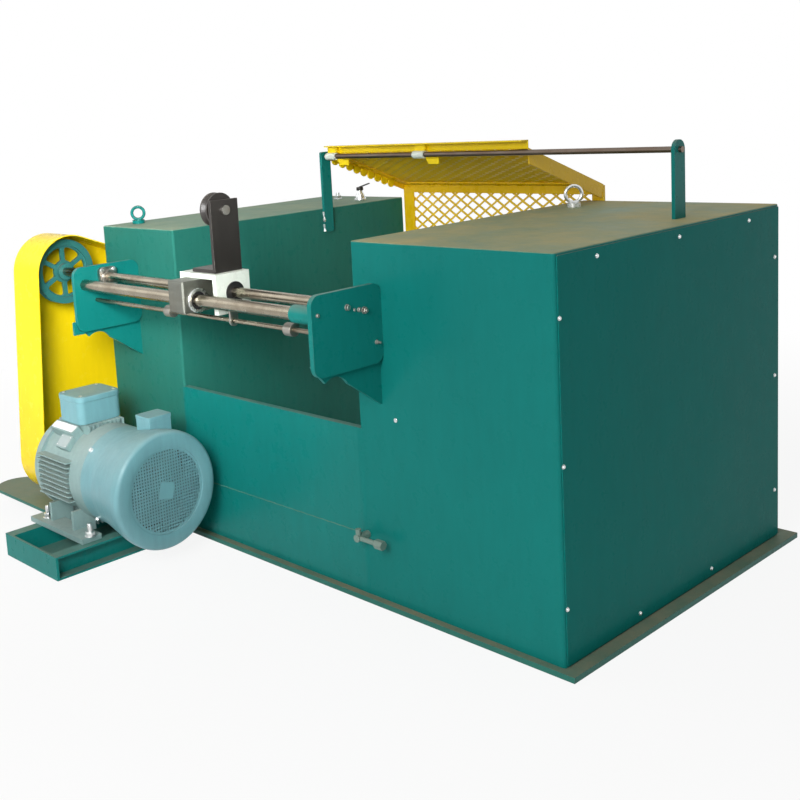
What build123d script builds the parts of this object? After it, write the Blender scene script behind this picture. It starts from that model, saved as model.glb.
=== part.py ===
from build123d import *
import math
import os

# Wire take-up and traverse machine in sheet steel.
# Millimetres. X runs along the front, Y goes back, Z is up.
# The origin is the centre of the base plate's underside, on the floor.

# Fits and cuts
seat_gap = 0.3
running_clearance = 0.05
fixed_clearance = 0.05
cut_margin = 1

# Housing
housing_length = 1760
housing_depth = 1030
housing_height = 936
left_cabinet_width = 390
recess_width = 760
sill_height = 450
sill_thickness = 20
sheet_bend_radius = 8
top_edge_radius = 4

# Base plate
plate_thickness = 14
plate_side_overhang = 37
plate_front_overhang = 20
plate_rear_overhang = 40

# Screwed cover on the right end
cover_thickness = 3
cover_margin = 6
cover_bottom_gap = 4
cover_screw_inset = 20
cover_screw_head_diameter = 14
cover_screw_head_height = 4

# Traverse brackets
bracket_thickness = 14
bracket_height = 200
bracket_front_margin = 38
bracket_corner_radius = 28
bracket_top_drop = 98
bracket_web_thickness = 10
bracket_web_drop = 112
web_dip_reach = 115
web_dip_drop = 34
web_crest_reach = 155
web_crest_drop = 9
web_wave_reach = 190
web_wave_drop = 19
web_tip_margin = 5
left_web_lip_reach = 6
left_web_lip_drop = 8
left_web_lip_height = 40
left_bracket_offset = 176
bracket_spacing = 1060
bracket_boss_length = 86
bracket_boss_diameter = 46

# Traverse shafts
drive_shaft_diameter = 25
drive_shaft_reach = 120
drive_shaft_drop = 40
drive_shaft_left_overhang = 100
drive_shaft_end_gap = 2
guide_bar_diameter = 30
guide_bar_lead = 77
guide_bar_drop = 15
guide_bar_stub = 12
stop_rod_diameter = 12
stop_rod_lead = 40
stop_rod_drop = 67
stop_rod_stub = 10
stop_rod_seat_depth = 8
shaft_passage_clearance = 5

# Shaft bearings on the brackets
flange_bearing_size = 62
flange_bearing_thickness = 12
flange_bearing_nose_diameter = 44
flange_bearing_nose_length = 10

# Stop collars
stop_collar_diameter = 34
stop_collar_width = 28
left_collar_offset = 390
right_collar_offset = 900

# Carriage
carriage_offset = 490
carriage_width = 160
carriage_depth = 114
carriage_front_lead = 61
carriage_top_rise = 55
carriage_height = 109
carriage_side_thickness = 16
carriage_top_thickness = 14
bush_diameter = 54
bush_lip_diameter = 60
bush_lip_width = 3

# Slide block on the guide bar
slide_block_offset = 27
slide_block_width = 68
slide_block_front_margin = 48
slide_block_rear_margin = 52
slide_block_below_bar = 31
slide_block_edge = 4
slide_bush_diameter = 44
slide_bush_lip_diameter = 48
slide_bush_lip_width = 2

# Trip fork on the stop rod
trip_arm_width = 26
trip_arm_drop = 24
trip_arm_thickness = 6
trip_arm_length = 40
trip_ring_diameter = 28
trip_ring_bore = 16

# Wire guide arm and roller
arm_thickness = 10
arm_width = 92
arm_above_roller = 28
arm_lag = 4
arm_foot_length = 100
arm_right_inset = 20
roller_diameter = 92
roller_width = 30
roller_groove_depth = 12
roller_rim_width = 5
roller_bore = 16
roller_gap_to_arm = 8
roller_centre_above_carriage = 166
pin_head_diameter = 26
pin_head_thickness = 8
pin_side_clearance = 0.3

# Traverse pulley
pulley_diameter = 210
pulley_width = 30
pulley_plane_left_of_housing = 70
pulley_groove_depth = 14
pulley_rim_thickness = 20
pulley_web_thickness = 10
pulley_hub_diameter = 54
pulley_hub_width = 40
pulley_window_count = 6
pulley_spoke_width = 14
pulley_window_corner = 7
pulley_window_hub_margin = 9
pulley_window_rim_margin = 6
pulley_groove_side = 5
pulley_groove_half_floor = 4

# Belt guard
belt_guard_width = 160
belt_guard_sheet = 3
belt_guard_pulley_clearance = 18
belt_guard_top_lead = 9
belt_guard_bottom_radius = 130
belt_guard_bottom_reach = 163
belt_guard_rear_radius = 200
belt_guard_rear_centre_depth = 470
belt_guard_rear_centre_height = 495

# Shelf plate under the belt guard
shelf_thickness = 10
shelf_left_overhang = 207
shelf_front_reach = 318
shelf_width = 155

# Motor base
rail_height = 70
rail_flange_width = 40
rail_web_thickness = 6
rail_front_reach = 500
rail_left_offset = 100
rail_right_offset = 400
end_plate_thickness = 8
base_pan_thickness = 6

# Motor
motor_axis_reach = 220
motor_shaft_height = 160
motor_frame_radius = 140
motor_barrel_length = 175
motor_rear_length = 65
motor_rear_radius = 148
motor_frame_start = 105
motor_foot_start = 70
motor_fin_height = 14
motor_fin_thickness = 4
motor_fin_count = 9
motor_fin_pitch = 15
motor_fin_root_share = 0.55
motor_shield_radius = 150
motor_shield_length = 35
motor_shield_edge_radius = 12
motor_shield_nose_radius = 70
motor_shield_nose_length = 14
fan_cover_radius = 174
fan_cover_length = 231
fan_cover_neck_length = 55
fan_cover_flare_length = 145
fan_cover_edge_radius = 13
fan_grille_radius = 127
fan_grille_depth = 4
junction_box_length = 70
junction_box_width = 80
junction_box_start = 320
junction_box_lead = 50
junction_box_top = 198
junction_box_corner_radius = 6
motor_foot_length = 305
motor_foot_width = 66
motor_foot_thickness = 16
motor_foot_spacing = 286
motor_foot_rib_thickness = 12
motor_foot_rib_place = 64
motor_foot_rib_top_share = 0.62
motor_foot_rib_reach = 12
motor_shaft_diameter = 42
motor_shaft_length = 110
motor_pulley_diameter = 110
motor_pulley_width = 52
motor_pulley_groove_count = 3
motor_pulley_groove_depth = 10
motor_pulley_land = 3
motor_pulley_half_floor = 2
terminal_box_length = 130
terminal_box_width = 150
terminal_box_height = 85
terminal_box_corner_radius = 22
terminal_box_start = 150

# Guard posts and hinge rod
post_thickness = 10
post_width = 41
left_post_above_rod = 16
left_post_seat_length = 80
left_post_corner_radius = 6
right_post_width = 50
post_depth = 648
right_post_inset = 83
rod_above_housing = 174
rod_diameter = 16
rod_end_stub = 8

# Hinged guard
guard_width = 808
guard_left_clearance = 6
guard_bar_size = 26
guard_bar_thickness = 4
guard_bar_above_rod = 22
guard_slope_drop = 134
guard_rear_clearance = 12
guard_rear_height = 526
guard_sheet = 3
guard_angle_size = 40
guard_side_margin = 50
guard_cabinet_clearance = 6
guard_bend_margin = 33
guard_angle_thickness = 4
mesh_diamond_length = 100
mesh_diamond_height = 54
mesh_strand = 9
sleeve_wall = 4
sleeve_length = 46
middle_sleeve_offset = 390
sleeve_tab_length = 50
sleeve_tab_thickness = 5

# Lifting eyes
left_eye_ring_diameter = 50
right_eye_ring_diameter = 58
eye_wire_diameter = 10
eye_turn = 49
eye_foot_diameter = 40
eye_foot_height = 12
eye_ring_sink = 3
left_eye_offset = 72
left_eye_depth = 95
right_eye_inset = 88
right_eye_depth = 846

# Valve on the left cabinet's top
valve_offset = 307
valve_depth = 895
valve_flange_diameter = 42
valve_flange_thickness = 5
valve_body_diameter = 32
valve_neck_diameter = 18
valve_body_height = 36
valve_lever_length = 66
valve_lever_width = 14
valve_lever_thickness = 5
valve_lever_slope = 24

# Drain cock low on the front
cock_right_cabinet_inset = 10
cock_height = 180
cock_body_diameter = 20
cock_body_length = 44
cock_branch_lead = 35
cock_branch_length = 62
cock_branch_diameter = 13
cock_nut_across = 22
cock_nut_length = 26
cock_knob_diameter = 15
cock_knob_height = 24

# Places worked out from the sizes
plate_length = housing_length + 2 * plate_side_overhang
plate_depth = housing_depth + plate_front_overhang + plate_rear_overhang
left_x = -housing_length / 2
right_x = housing_length / 2
front_y = -plate_depth / 2 + plate_front_overhang
rear_y = front_y + housing_depth
top_z = plate_thickness + housing_height
recess_left_x = left_x + left_cabinet_width
recess_right_x = recess_left_x + recess_width
bracket_top_z = top_z - bracket_top_drop
bracket_bottom_z = bracket_top_z - bracket_height
bracket_reach = drive_shaft_reach + guide_bar_lead + bracket_front_margin
web_tip_reach = bracket_reach - web_tip_margin
left_bracket_x = left_x + left_bracket_offset
right_bracket_x = left_bracket_x + bracket_spacing
drive_y = front_y - drive_shaft_reach
drive_z = bracket_top_z - drive_shaft_drop
guide_y = drive_y - guide_bar_lead
guide_z = drive_z - guide_bar_drop
stop_y = drive_y - stop_rod_lead
stop_z = drive_z - stop_rod_drop
pulley_x = left_x - pulley_plane_left_of_housing
motor_y = front_y - motor_axis_reach
motor_z = rail_height + motor_shaft_height
motor_x = left_x + motor_frame_start
carriage_x = left_bracket_x + carriage_offset
carriage_end_x = carriage_x + carriage_width
carriage_front_y = drive_y - carriage_front_lead
carriage_top_z = drive_z + carriage_top_rise
carriage_bottom_z = carriage_top_z - carriage_height
arm_right_x = carriage_end_x - arm_right_inset
arm_y = carriage_front_y + carriage_depth / 2 + arm_lag
roller_z = carriage_top_z + roller_centre_above_carriage
rod_y = front_y + post_depth
rod_z = top_z + rod_above_housing


def box_between(low, high):
    """A block between two corners."""
    size = [b - a for a, b in zip(low, high)]
    centre = [(a + b) / 2 for a, b in zip(low, high)]
    return Pos(*centre) * Box(*size)


def rod_along_x(start, end, y, z, diameter):
    """A round bar along X."""
    return Pos((start + end) / 2, y, z) * Rot(0, 90, 0) * Cylinder(diameter / 2, end - start)


def bore_along_x(start, end, y, z, diameter):
    """A cutter for a round hole along X, a little longer than the hole."""
    return rod_along_x(start - cut_margin, end + cut_margin, y, z, diameter)


def rod_along_y(x, start, end, z, diameter):
    """A round bar along Y."""
    return Pos(x, (start + end) / 2, z) * Rot(90, 0, 0) * Cylinder(diameter / 2, end - start)


def plate_across_x(sketch, start, thickness):
    """A sketch drawn in the Y-Z plane, extruded along +X from start."""
    plane = Plane(origin=(start, 0, 0), x_dir=(0, 1, 0), z_dir=(1, 0, 0))
    return extrude(plane * sketch, thickness)


def base_plate():
    return Pos(0, 0, plate_thickness / 2) * Box(plate_length, plate_depth, plate_thickness)


def cabinet(start, end):
    """A closed sheet-steel housing with bent upright corners."""
    body = box_between((start, front_y, plate_thickness), (end, rear_y, top_z))
    body = fillet(body.edges().filter_by(Axis.Z), sheet_bend_radius)
    return fillet(body.faces().sort_by(Axis.Z)[-1].edges(), top_edge_radius)


def front_sill():
    low = (recess_left_x, front_y, plate_thickness)
    high = (recess_right_x, front_y + sill_thickness, plate_thickness + sill_height)
    return box_between(low, high)


def cover_screw_places():
    """Y and Z of the screws round the end cover."""
    low_y = front_y + cover_screw_inset
    high_y = rear_y - cover_screw_inset
    low_z = plate_thickness + cover_bottom_gap + cover_screw_inset
    high_z = top_z - cover_margin - cover_screw_inset
    middle_y = (low_y + high_y) / 2
    third = (high_y - low_y) / 3
    quarter = (high_z - low_z) / 3
    places = [(middle_y + step * third, high_z) for step in (-1, 0, 1)]
    places += [(middle_y + step * third / 2, low_z) for step in (-1, 1)]
    for y in (low_y, high_y):
        places += [(y, (low_z + high_z) / 2 + step * quarter) for step in (-1, 0, 1)]
    return places


def right_end_cover():
    """The flat cover with its pan-head screws."""
    low = (right_x, front_y + cover_margin, plate_thickness + cover_bottom_gap)
    high = (right_x + cover_thickness, rear_y - cover_margin, top_z - cover_margin)
    cover = box_between(low, high)
    start = right_x + cover_thickness
    for y, z in cover_screw_places():
        cover += rod_along_x(start, start + cover_screw_head_height, y, z, cover_screw_head_diameter)
    return cover


def bracket(start):
    """One traverse bracket: a plate standing out from the front, with rounded corners."""
    length = bracket_reach
    outline = Rectangle(length, bracket_height)
    outline = fillet(outline.vertices(), bracket_corner_radius)
    centre_y = front_y - length / 2
    centre_z = bracket_top_z - bracket_height / 2
    plate = plate_across_x(Pos(centre_y, centre_z) * outline, start, bracket_thickness)
    return plate + bracket_web(start)


def bracket_web(end):
    """The welded web on the plate's left face, with its wavy lower edge down to the cabinet."""
    low = bracket_bottom_z
    with BuildSketch() as sketch:
        with BuildLine():
            Polyline((front_y - web_tip_reach, low + bracket_corner_radius),
                     (front_y, low + bracket_height / 2), (front_y, low - bracket_web_drop),
                     (front_y - web_dip_reach, low - web_dip_drop))
            ThreePointArc((front_y - web_dip_reach, low - web_dip_drop),
                          (front_y - web_crest_reach, low - web_crest_drop),
                          (front_y - web_wave_reach, low - web_wave_drop))
            Line((front_y - web_wave_reach, low - web_wave_drop),
                 (front_y - web_tip_reach, low + bracket_corner_radius))
        make_face()
    return plate_across_x(sketch.sketch, end - bracket_web_thickness, bracket_web_thickness)


def left_bracket():
    """The left bracket: the shafts pass through it, and its web ends in a square front corner."""
    start = left_bracket_x
    end = start + bracket_thickness
    lip_y = front_y - bracket_reach - left_web_lip_reach
    low_z = bracket_bottom_z - left_web_lip_drop
    plate = bracket(start)
    plate += box_between((start - bracket_web_thickness, lip_y, low_z),
                         (start, front_y - web_wave_reach, low_z + left_web_lip_height))
    plate -= bore_along_x(start, end, guide_y, guide_z, guide_bar_diameter + 2 * fixed_clearance)
    plate -= bore_along_x(start, end, drive_y, drive_z, drive_shaft_diameter + 2 * shaft_passage_clearance)
    return plate - bore_along_x(start, end, stop_y, stop_z, stop_rod_diameter + 2 * fixed_clearance)


def right_bracket():
    """The right bracket: a closed plate with a welded boss for the guide bar and a blind rod seat."""
    start = right_bracket_x
    boss_start = start - bracket_boss_length
    bar_seat = guide_bar_diameter + 2 * fixed_clearance
    plate = bracket(start) + rod_along_x(boss_start, start, guide_y, guide_z, bracket_boss_diameter)
    plate -= rod_along_x(boss_start - cut_margin, start, guide_y, guide_z, bar_seat)
    return plate - rod_along_x(start - cut_margin, start + stop_rod_seat_depth, stop_y, stop_z,
                               stop_rod_diameter + 2 * fixed_clearance)


def flange_bearing(start, direction):
    """A flange bearing on a bracket's face; its nose points along direction."""
    outline = Rectangle(flange_bearing_size, flange_bearing_size)
    outline = fillet(outline.vertices(), flange_bearing_size / 5)
    outline = Pos(drive_y, drive_z) * outline
    end = start + direction * flange_bearing_thickness
    body = plate_across_x(outline, min(start, end), flange_bearing_thickness)
    nose_end = end + direction * flange_bearing_nose_length
    body += rod_along_x(min(end, nose_end), max(end, nose_end), drive_y, drive_z,
                        flange_bearing_nose_diameter)
    bore = drive_shaft_diameter + 2 * running_clearance
    return body - bore_along_x(min(start, nose_end), max(start, nose_end), drive_y, drive_z, bore)


def guide_bar():
    return rod_along_x(left_bracket_x - guide_bar_stub, right_bracket_x, guide_y, guide_z,
                       guide_bar_diameter)


def stop_rod():
    return rod_along_x(left_bracket_x - stop_rod_stub, right_bracket_x + stop_rod_seat_depth, stop_y, stop_z,
                       stop_rod_diameter)


def stop_collar(offset):
    """A clamp collar on the stop rod."""
    start = left_bracket_x + offset
    end = start + stop_collar_width
    ring = rod_along_x(start, end, stop_y, stop_z, stop_collar_diameter)
    bore = stop_rod_diameter + 2 * fixed_clearance
    return ring - bore_along_x(start, end, stop_y, stop_z, bore)


def carriage_block():
    """The painted saddle: a top plate on two side plates bored for the drive shaft's bushes."""
    rear = carriage_front_y + carriage_depth
    block = box_between((carriage_x, carriage_front_y, carriage_bottom_z),
                        (carriage_end_x, rear, carriage_top_z))
    inner_low = (carriage_x + carriage_side_thickness, carriage_front_y - cut_margin,
                 carriage_bottom_z - cut_margin)
    inner_high = (carriage_end_x - carriage_side_thickness, rear + cut_margin,
                  carriage_top_z - carriage_top_thickness)
    block -= box_between(inner_low, inner_high)
    block -= bore_along_x(carriage_x, carriage_end_x, drive_y, drive_z, bush_diameter)
    return block


def carriage_bushes():
    """Two black bushes in the saddle's side plates."""
    bushes = []
    bore = drive_shaft_diameter + 2 * running_clearance
    inner_left = carriage_x + carriage_side_thickness
    inner_right = carriage_end_x - carriage_side_thickness
    for start, end, lip_start in ((carriage_x, inner_left, carriage_x - bush_lip_width),
                                  (inner_right, carriage_end_x, carriage_end_x)):
        bush = rod_along_x(start, end, drive_y, drive_z, bush_diameter)
        bush += rod_along_x(lip_start, lip_start + bush_lip_width, drive_y, drive_z,
                            bush_lip_diameter)
        low = start - 2 * bush_lip_width
        high = end + 2 * bush_lip_width
        bushes.append(bush - rod_along_x(low, high, drive_y, drive_z, bore))
    return bushes


def slide_block():
    """The bright block that runs on the guide bar, held under the saddle's top plate."""
    start = carriage_x + slide_block_offset
    top = carriage_top_z - carriage_top_thickness
    block = box_between((start, guide_y - slide_block_front_margin, guide_z - slide_block_below_bar),
                        (start + slide_block_width, guide_y + slide_block_rear_margin, top))
    front_edges = block.faces().sort_by(Axis.Y)[0].edges()
    block = chamfer(front_edges, slide_block_edge)
    end = start + slide_block_width
    return block - bore_along_x(start, end, guide_y, guide_z, slide_bush_diameter)


def slide_bush():
    """The black bush of the slide block."""
    start = carriage_x + slide_block_offset
    end = start + slide_block_width
    bush = rod_along_x(start, end, guide_y, guide_z, slide_bush_diameter)
    bush += rod_along_x(end, end + slide_bush_lip_width, guide_y, guide_z, slide_bush_lip_diameter)
    bore = guide_bar_diameter + 2 * running_clearance
    return bush - bore_along_x(start, end + slide_bush_lip_width, guide_y, guide_z, bore)


def trip_fork():
    """The arm that meets the stop collars, with its ring round the stop rod."""
    start = carriage_end_x
    ring_start = start + trip_arm_length - trip_arm_thickness
    top = carriage_bottom_z + trip_arm_drop
    arm = box_between((start, stop_y - trip_arm_width / 2, top - trip_arm_thickness),
                      (start + trip_arm_length, stop_y + trip_arm_width / 2, top))
    drop = box_between((ring_start, stop_y - trip_arm_width / 2, stop_z),
                       (start + trip_arm_length, stop_y + trip_arm_width / 2, top))
    ring = rod_along_x(ring_start, start + trip_arm_length, stop_y, stop_z, trip_ring_diameter)
    fork = arm + drop + ring
    return fork - bore_along_x(ring_start, start + trip_arm_length, stop_y, stop_z,
                              trip_ring_bore)


def guide_arm():
    """The black angle arm that carries the wire roller."""
    low_y = arm_y - arm_width / 2
    high_y = arm_y + arm_width / 2
    foot = box_between((arm_right_x - arm_foot_length, low_y, carriage_top_z),
                       (arm_right_x, high_y, carriage_top_z + arm_thickness))
    upright = box_between((arm_right_x - arm_thickness, low_y, carriage_top_z),
                          (arm_right_x, high_y, roller_z + arm_above_roller))
    arm = foot + upright
    return arm - bore_along_x(arm_right_x - arm_thickness, arm_right_x, arm_y, roller_z, roller_bore)


def roller_pin():
    """The roller's axle bolt, with its head outside and a cap on the roller."""
    y = arm_y
    roller_end = arm_right_x - arm_thickness - roller_gap_to_arm
    roller_start = roller_end - roller_width
    cap_end = roller_start - pin_side_clearance
    collar_start = roller_end + pin_side_clearance
    pin = rod_along_x(cap_end, arm_right_x, y, roller_z, roller_bore)
    pin += rod_along_x(collar_start, arm_right_x - arm_thickness, y, roller_z, pin_head_diameter)
    pin += rod_along_x(cap_end - pin_head_thickness, cap_end, y, roller_z, pin_head_diameter)
    pin += rod_along_x(arm_right_x, arm_right_x + pin_head_thickness, y, roller_z, pin_head_diameter)
    return pin


def guide_roller():
    """The grooved wire roller, turned round X."""
    end = arm_right_x - arm_thickness - roller_gap_to_arm
    half = roller_width / 2
    outer = roller_diameter / 2
    bore = roller_bore / 2 + running_clearance
    with BuildSketch(Plane.XZ) as profile:
        with BuildLine():
            Polyline((-half, bore), (-half, outer), (-half + roller_rim_width, outer),
                     (0, outer - roller_groove_depth), (half - roller_rim_width, outer),
                     (half, outer), (half, bore), close=True)
        make_face()
    roller = revolve(profile.sketch, Axis.X)
    return Pos(end - half, arm_y, roller_z) * roller


def traverse_shaft():
    end = right_bracket_x - drive_shaft_end_gap
    return rod_along_x(left_x - drive_shaft_left_overhang, end, drive_y, drive_z, drive_shaft_diameter)


def window_sketch(inner, outer):
    """One window between two spokes, drawn round the positive first axis."""
    half_angle = math.pi / pulley_window_count
    half_spoke = pulley_spoke_width / 2
    inner_angle = half_angle - math.asin(half_spoke / inner)
    outer_angle = half_angle - math.asin(half_spoke / outer)
    inner_low = (inner * math.cos(inner_angle), -inner * math.sin(inner_angle))
    inner_high = (inner_low[0], -inner_low[1])
    outer_low = (outer * math.cos(outer_angle), -outer * math.sin(outer_angle))
    outer_high = (outer_low[0], -outer_low[1])
    with BuildSketch() as sketch:
        with BuildLine():
            ThreePointArc(outer_low, (outer, 0), outer_high)
            Line(outer_high, inner_high)
            ThreePointArc(inner_high, (inner, 0), inner_low)
            Line(inner_low, outer_low)
        make_face()
        fillet(sketch.vertices(), pulley_window_corner)
    return sketch.sketch


def traverse_pulley():
    """The spoked V-belt pulley on the shaft's left end."""
    outer = pulley_diameter / 2
    half = pulley_width / 2
    half_web = pulley_web_thickness / 2
    half_hub = pulley_hub_width / 2
    hub = pulley_hub_diameter / 2
    rim = outer - pulley_rim_thickness
    bore = drive_shaft_diameter / 2 + fixed_clearance
    with BuildSketch(Plane.XZ) as profile:
        with BuildLine():
            Polyline((-half_hub, bore), (-half_hub, hub), (-half_web, hub), (-half_web, rim),
                     (-half, rim), (-half, outer), (-half + pulley_groove_side, outer),
                     (-pulley_groove_half_floor, outer - pulley_groove_depth),
                     (pulley_groove_half_floor, outer - pulley_groove_depth),
                     (half - pulley_groove_side, outer), (half, outer), (half, rim), (half_web, rim),
                     (half_web, hub), (half_hub, hub), (half_hub, bore), close=True)
        make_face()
    pulley = revolve(profile.sketch, Axis.X)
    window = window_sketch(hub + pulley_window_hub_margin, rim - pulley_window_rim_margin)
    for turn in range(pulley_window_count):
        angle = 360 / pulley_window_count * turn
        pulley -= plate_across_x(Rot(0, 0, angle) * window, -half, pulley_width)
    return Pos(pulley_x, drive_y, drive_z) * pulley


def guard_circle_centres():
    """Side-view centres and radii of the three rounds of the belt guard."""
    bottom_z = rail_height + seat_gap + belt_guard_bottom_radius
    top_radius = pulley_diameter / 2 + belt_guard_pulley_clearance
    return [(drive_y - belt_guard_top_lead, drive_z, top_radius),
            (front_y - belt_guard_bottom_reach, bottom_z, belt_guard_bottom_radius),
            (front_y + belt_guard_rear_centre_depth, belt_guard_rear_centre_height,
             belt_guard_rear_radius)]


def guard_outline(inset):
    """The belt guard's side outline: a band drawn tight round three circles."""
    rounds = [Pos(y, z) * CenterArc((0, 0), radius - inset, 0, 360)
              for y, z, radius in guard_circle_centres()]
    return make_hull([edge for item in rounds for edge in item.edges()])


def belt_guard():
    """Outer plate and rim of the belt guard, open towards the machine."""
    start = left_x - belt_guard_width
    shell = plate_across_x(guard_outline(0), start, belt_guard_width)
    hollow = plate_across_x(guard_outline(belt_guard_sheet), start + belt_guard_sheet, belt_guard_width)
    return shell - hollow


def guard_shelf():
    """The flat shelf under the belt guard, flush with the rails, with a half-round left end."""
    half = shelf_width / 2
    middle_y = front_y - shelf_front_reach + half
    middle_z = rail_height - shelf_thickness / 2
    round_x = left_x - belt_guard_width - shelf_left_overhang + half
    low_z = rail_height - shelf_thickness
    shelf = box_between((round_x, middle_y - half, low_z),
                        (left_x + rail_left_offset, middle_y + half, rail_height))
    return shelf + Pos(round_x, middle_y, middle_z) * Cylinder(half, shelf_thickness)


def motor_rail(edge_x, inward):
    """A channel rail along Y: its flanges open outwards at edge_x, its web lies further inward."""
    low_y = front_y - rail_front_reach + end_plate_thickness
    high_y = front_y - plate_front_overhang
    web_x = edge_x + inward * rail_flange_width
    web_start = web_x - inward * rail_web_thickness
    rail = box_between((min(web_x, web_start), low_y, 0), (max(web_x, web_start), high_y, rail_height))
    for low_z in (0, rail_height - rail_web_thickness):
        rail += box_between((min(edge_x, web_x), low_y, low_z),
                            (max(edge_x, web_x), high_y, low_z + rail_web_thickness))
    return rail


def motor_base_end():
    """The end plate that joins the two rails in front, and the bottom pan between their webs."""
    low_y = front_y - rail_front_reach
    inner_y = low_y + end_plate_thickness
    left = left_x + rail_left_offset
    right = left_x + rail_right_offset
    end = box_between((left, low_y, 0), (right, inner_y, rail_height))
    return end + box_between((left + rail_flange_width, inner_y, 0),
                             (right - rail_flange_width, front_y - plate_front_overhang, base_pan_thickness))


def motor_frame():
    """The ribbed stator frame, with its plain rear shield."""
    start = motor_x
    end = start + motor_barrel_length
    frame = rod_along_x(start, end, motor_y, motor_z, 2 * motor_frame_radius)
    reach = motor_frame_radius + motor_fin_height
    inner = motor_frame_radius * motor_fin_root_share
    for step in range(motor_fin_count):
        offset = (step - (motor_fin_count - 1) / 2) * motor_fin_pitch
        for side in (-1, 1):
            low = min(side * inner, side * reach)
            high = max(side * inner, side * reach)
            half = motor_fin_thickness / 2
            frame += box_between((start, motor_y + low, motor_z + offset - half),
                                 (end, motor_y + high, motor_z + offset + half))
            frame += box_between((start, motor_y + offset - half, motor_z + low),
                                 (end, motor_y + offset + half, motor_z + high))
    return frame + rod_along_x(end, end + motor_rear_length, motor_y, motor_z, 2 * motor_rear_radius)


def motor_end_shield():
    """The drive-end shield with its bearing nose."""
    end = motor_x
    shield = rod_along_x(end - motor_shield_length, end, motor_y, motor_z, 2 * motor_shield_radius)
    shield = fillet(shield.edges().sort_by(Axis.X)[0], motor_shield_edge_radius)
    start = end - motor_shield_length
    shield += rod_along_x(start - motor_shield_nose_length, start, motor_y, motor_z,
                          2 * motor_shield_nose_radius)
    bore = motor_shaft_diameter + 2 * fixed_clearance
    return shield - bore_along_x(start - motor_shield_nose_length, end, motor_y, motor_z, bore)


def motor_shaft():
    """The shaft end that stands out to the left."""
    end = motor_x
    start = end - motor_shield_length - motor_shield_nose_length - motor_shaft_length
    return rod_along_x(start, end, motor_y, motor_z, motor_shaft_diameter)


def motor_pulley():
    """The grooved pulley on the motor shaft."""
    start = motor_x - motor_shield_length - motor_shield_nose_length - motor_shaft_length
    outer = motor_pulley_diameter / 2
    bore = motor_shaft_diameter / 2 + fixed_clearance
    pitch = motor_pulley_width / motor_pulley_groove_count
    points = [(0, bore), (0, outer)]
    for step in range(motor_pulley_groove_count):
        left = step * pitch
        middle = left + pitch / 2
        floor = outer - motor_pulley_groove_depth
        points += [(left + motor_pulley_land, outer), (middle - motor_pulley_half_floor, floor),
                   (middle + motor_pulley_half_floor, floor), (left + pitch - motor_pulley_land, outer)]
    points += [(motor_pulley_width, outer), (motor_pulley_width, bore)]
    with BuildSketch(Plane.XZ) as profile:
        with BuildLine():
            Polyline(*points, close=True)
        make_face()
    return Pos(start, motor_y, motor_z) * revolve(profile.sketch, Axis.X)


def fan_cover_form(margin):
    """The fan cover's outer form: a neck, a flare and a rounded rim, grown by a margin."""
    neck = motor_rear_radius + margin
    outer = fan_cover_radius + margin
    flare_end = fan_cover_neck_length + fan_cover_flare_length
    edge = fan_cover_edge_radius
    with BuildSketch(Plane.XZ) as profile:
        with BuildLine():
            Polyline((0, 0), (0, neck), (fan_cover_neck_length, neck), (flare_end, outer),
                     (fan_cover_length - edge, outer))
            RadiusArc((fan_cover_length - edge, outer), (fan_cover_length, outer - edge), edge)
            Polyline((fan_cover_length, outer - edge), (fan_cover_length, 0), (0, 0))
        make_face()
    start = motor_x + motor_barrel_length + motor_rear_length
    return Pos(start, motor_y, motor_z) * revolve(profile.sketch, Axis.X)


def fan_cover():
    """The pressed fan cover, flared towards its rim, with a sunk round grille face."""
    end = motor_x + motor_barrel_length + motor_rear_length + fan_cover_length
    face = rod_along_x(end - fan_grille_depth, end + cut_margin, motor_y, motor_z, 2 * fan_grille_radius)
    return fan_cover_form(0) - face


def junction_box():
    """The small box seated on the fan cover's flare."""
    start = motor_x + junction_box_start
    low_y = motor_y + junction_box_lead - junction_box_width / 2
    box = box_between((start, low_y, motor_z + motor_frame_radius / 2),
                      (start + junction_box_length, low_y + junction_box_width, motor_z + junction_box_top))
    box = fillet(box.edges().filter_by(Axis.Z), junction_box_corner_radius)
    box = fillet(box.faces().sort_by(Axis.Z)[-1].edges(), junction_box_corner_radius / 2)
    return box - fan_cover_form(seat_gap)


def motor_foot(side):
    """One foot of the motor: a plate with two ribs up to the frame."""
    y = motor_y + side * motor_foot_spacing / 2
    x = left_x + motor_foot_start + motor_foot_length / 2
    half = motor_foot_length / 2
    top = rail_height + motor_foot_thickness
    foot = box_between((x - half, y - motor_foot_width / 2, rail_height),
                       (x + half, y + motor_foot_width / 2, top))
    inner = motor_y + side * motor_frame_radius * motor_fin_root_share
    outer = motor_y + side * (motor_frame_radius + motor_foot_rib_reach)
    rise = motor_z - motor_frame_radius * motor_foot_rib_top_share
    for place in (-motor_foot_rib_place, motor_foot_rib_place):
        rib_x = x + place
        half_rib = motor_foot_rib_thickness / 2
        foot += box_between((rib_x - half_rib, min(inner, outer), rail_height),
                            (rib_x + half_rib, max(inner, outer), rise))
    barrel_end = motor_x + motor_barrel_length
    foot -= rod_along_x(x - half - cut_margin, barrel_end, motor_y, motor_z, 2 * motor_frame_radius)
    return foot - rod_along_x(barrel_end, x + half + cut_margin, motor_y, motor_z, 2 * motor_rear_radius)


def terminal_box():
    """The rounded terminal box on the frame, on a short neck."""
    start = motor_x + terminal_box_start - terminal_box_length
    low_z = motor_z + motor_frame_radius + motor_fin_height
    high_z = low_z + terminal_box_height
    half = terminal_box_width / 2
    box = box_between((start, motor_y - half, low_z), (start + terminal_box_length, motor_y + half, high_z))
    box = fillet(box.edges().filter_by(Axis.Z), terminal_box_corner_radius)
    return fillet(box.faces().sort_by(Axis.Z)[-1].edges(), terminal_box_corner_radius / 2)


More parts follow.
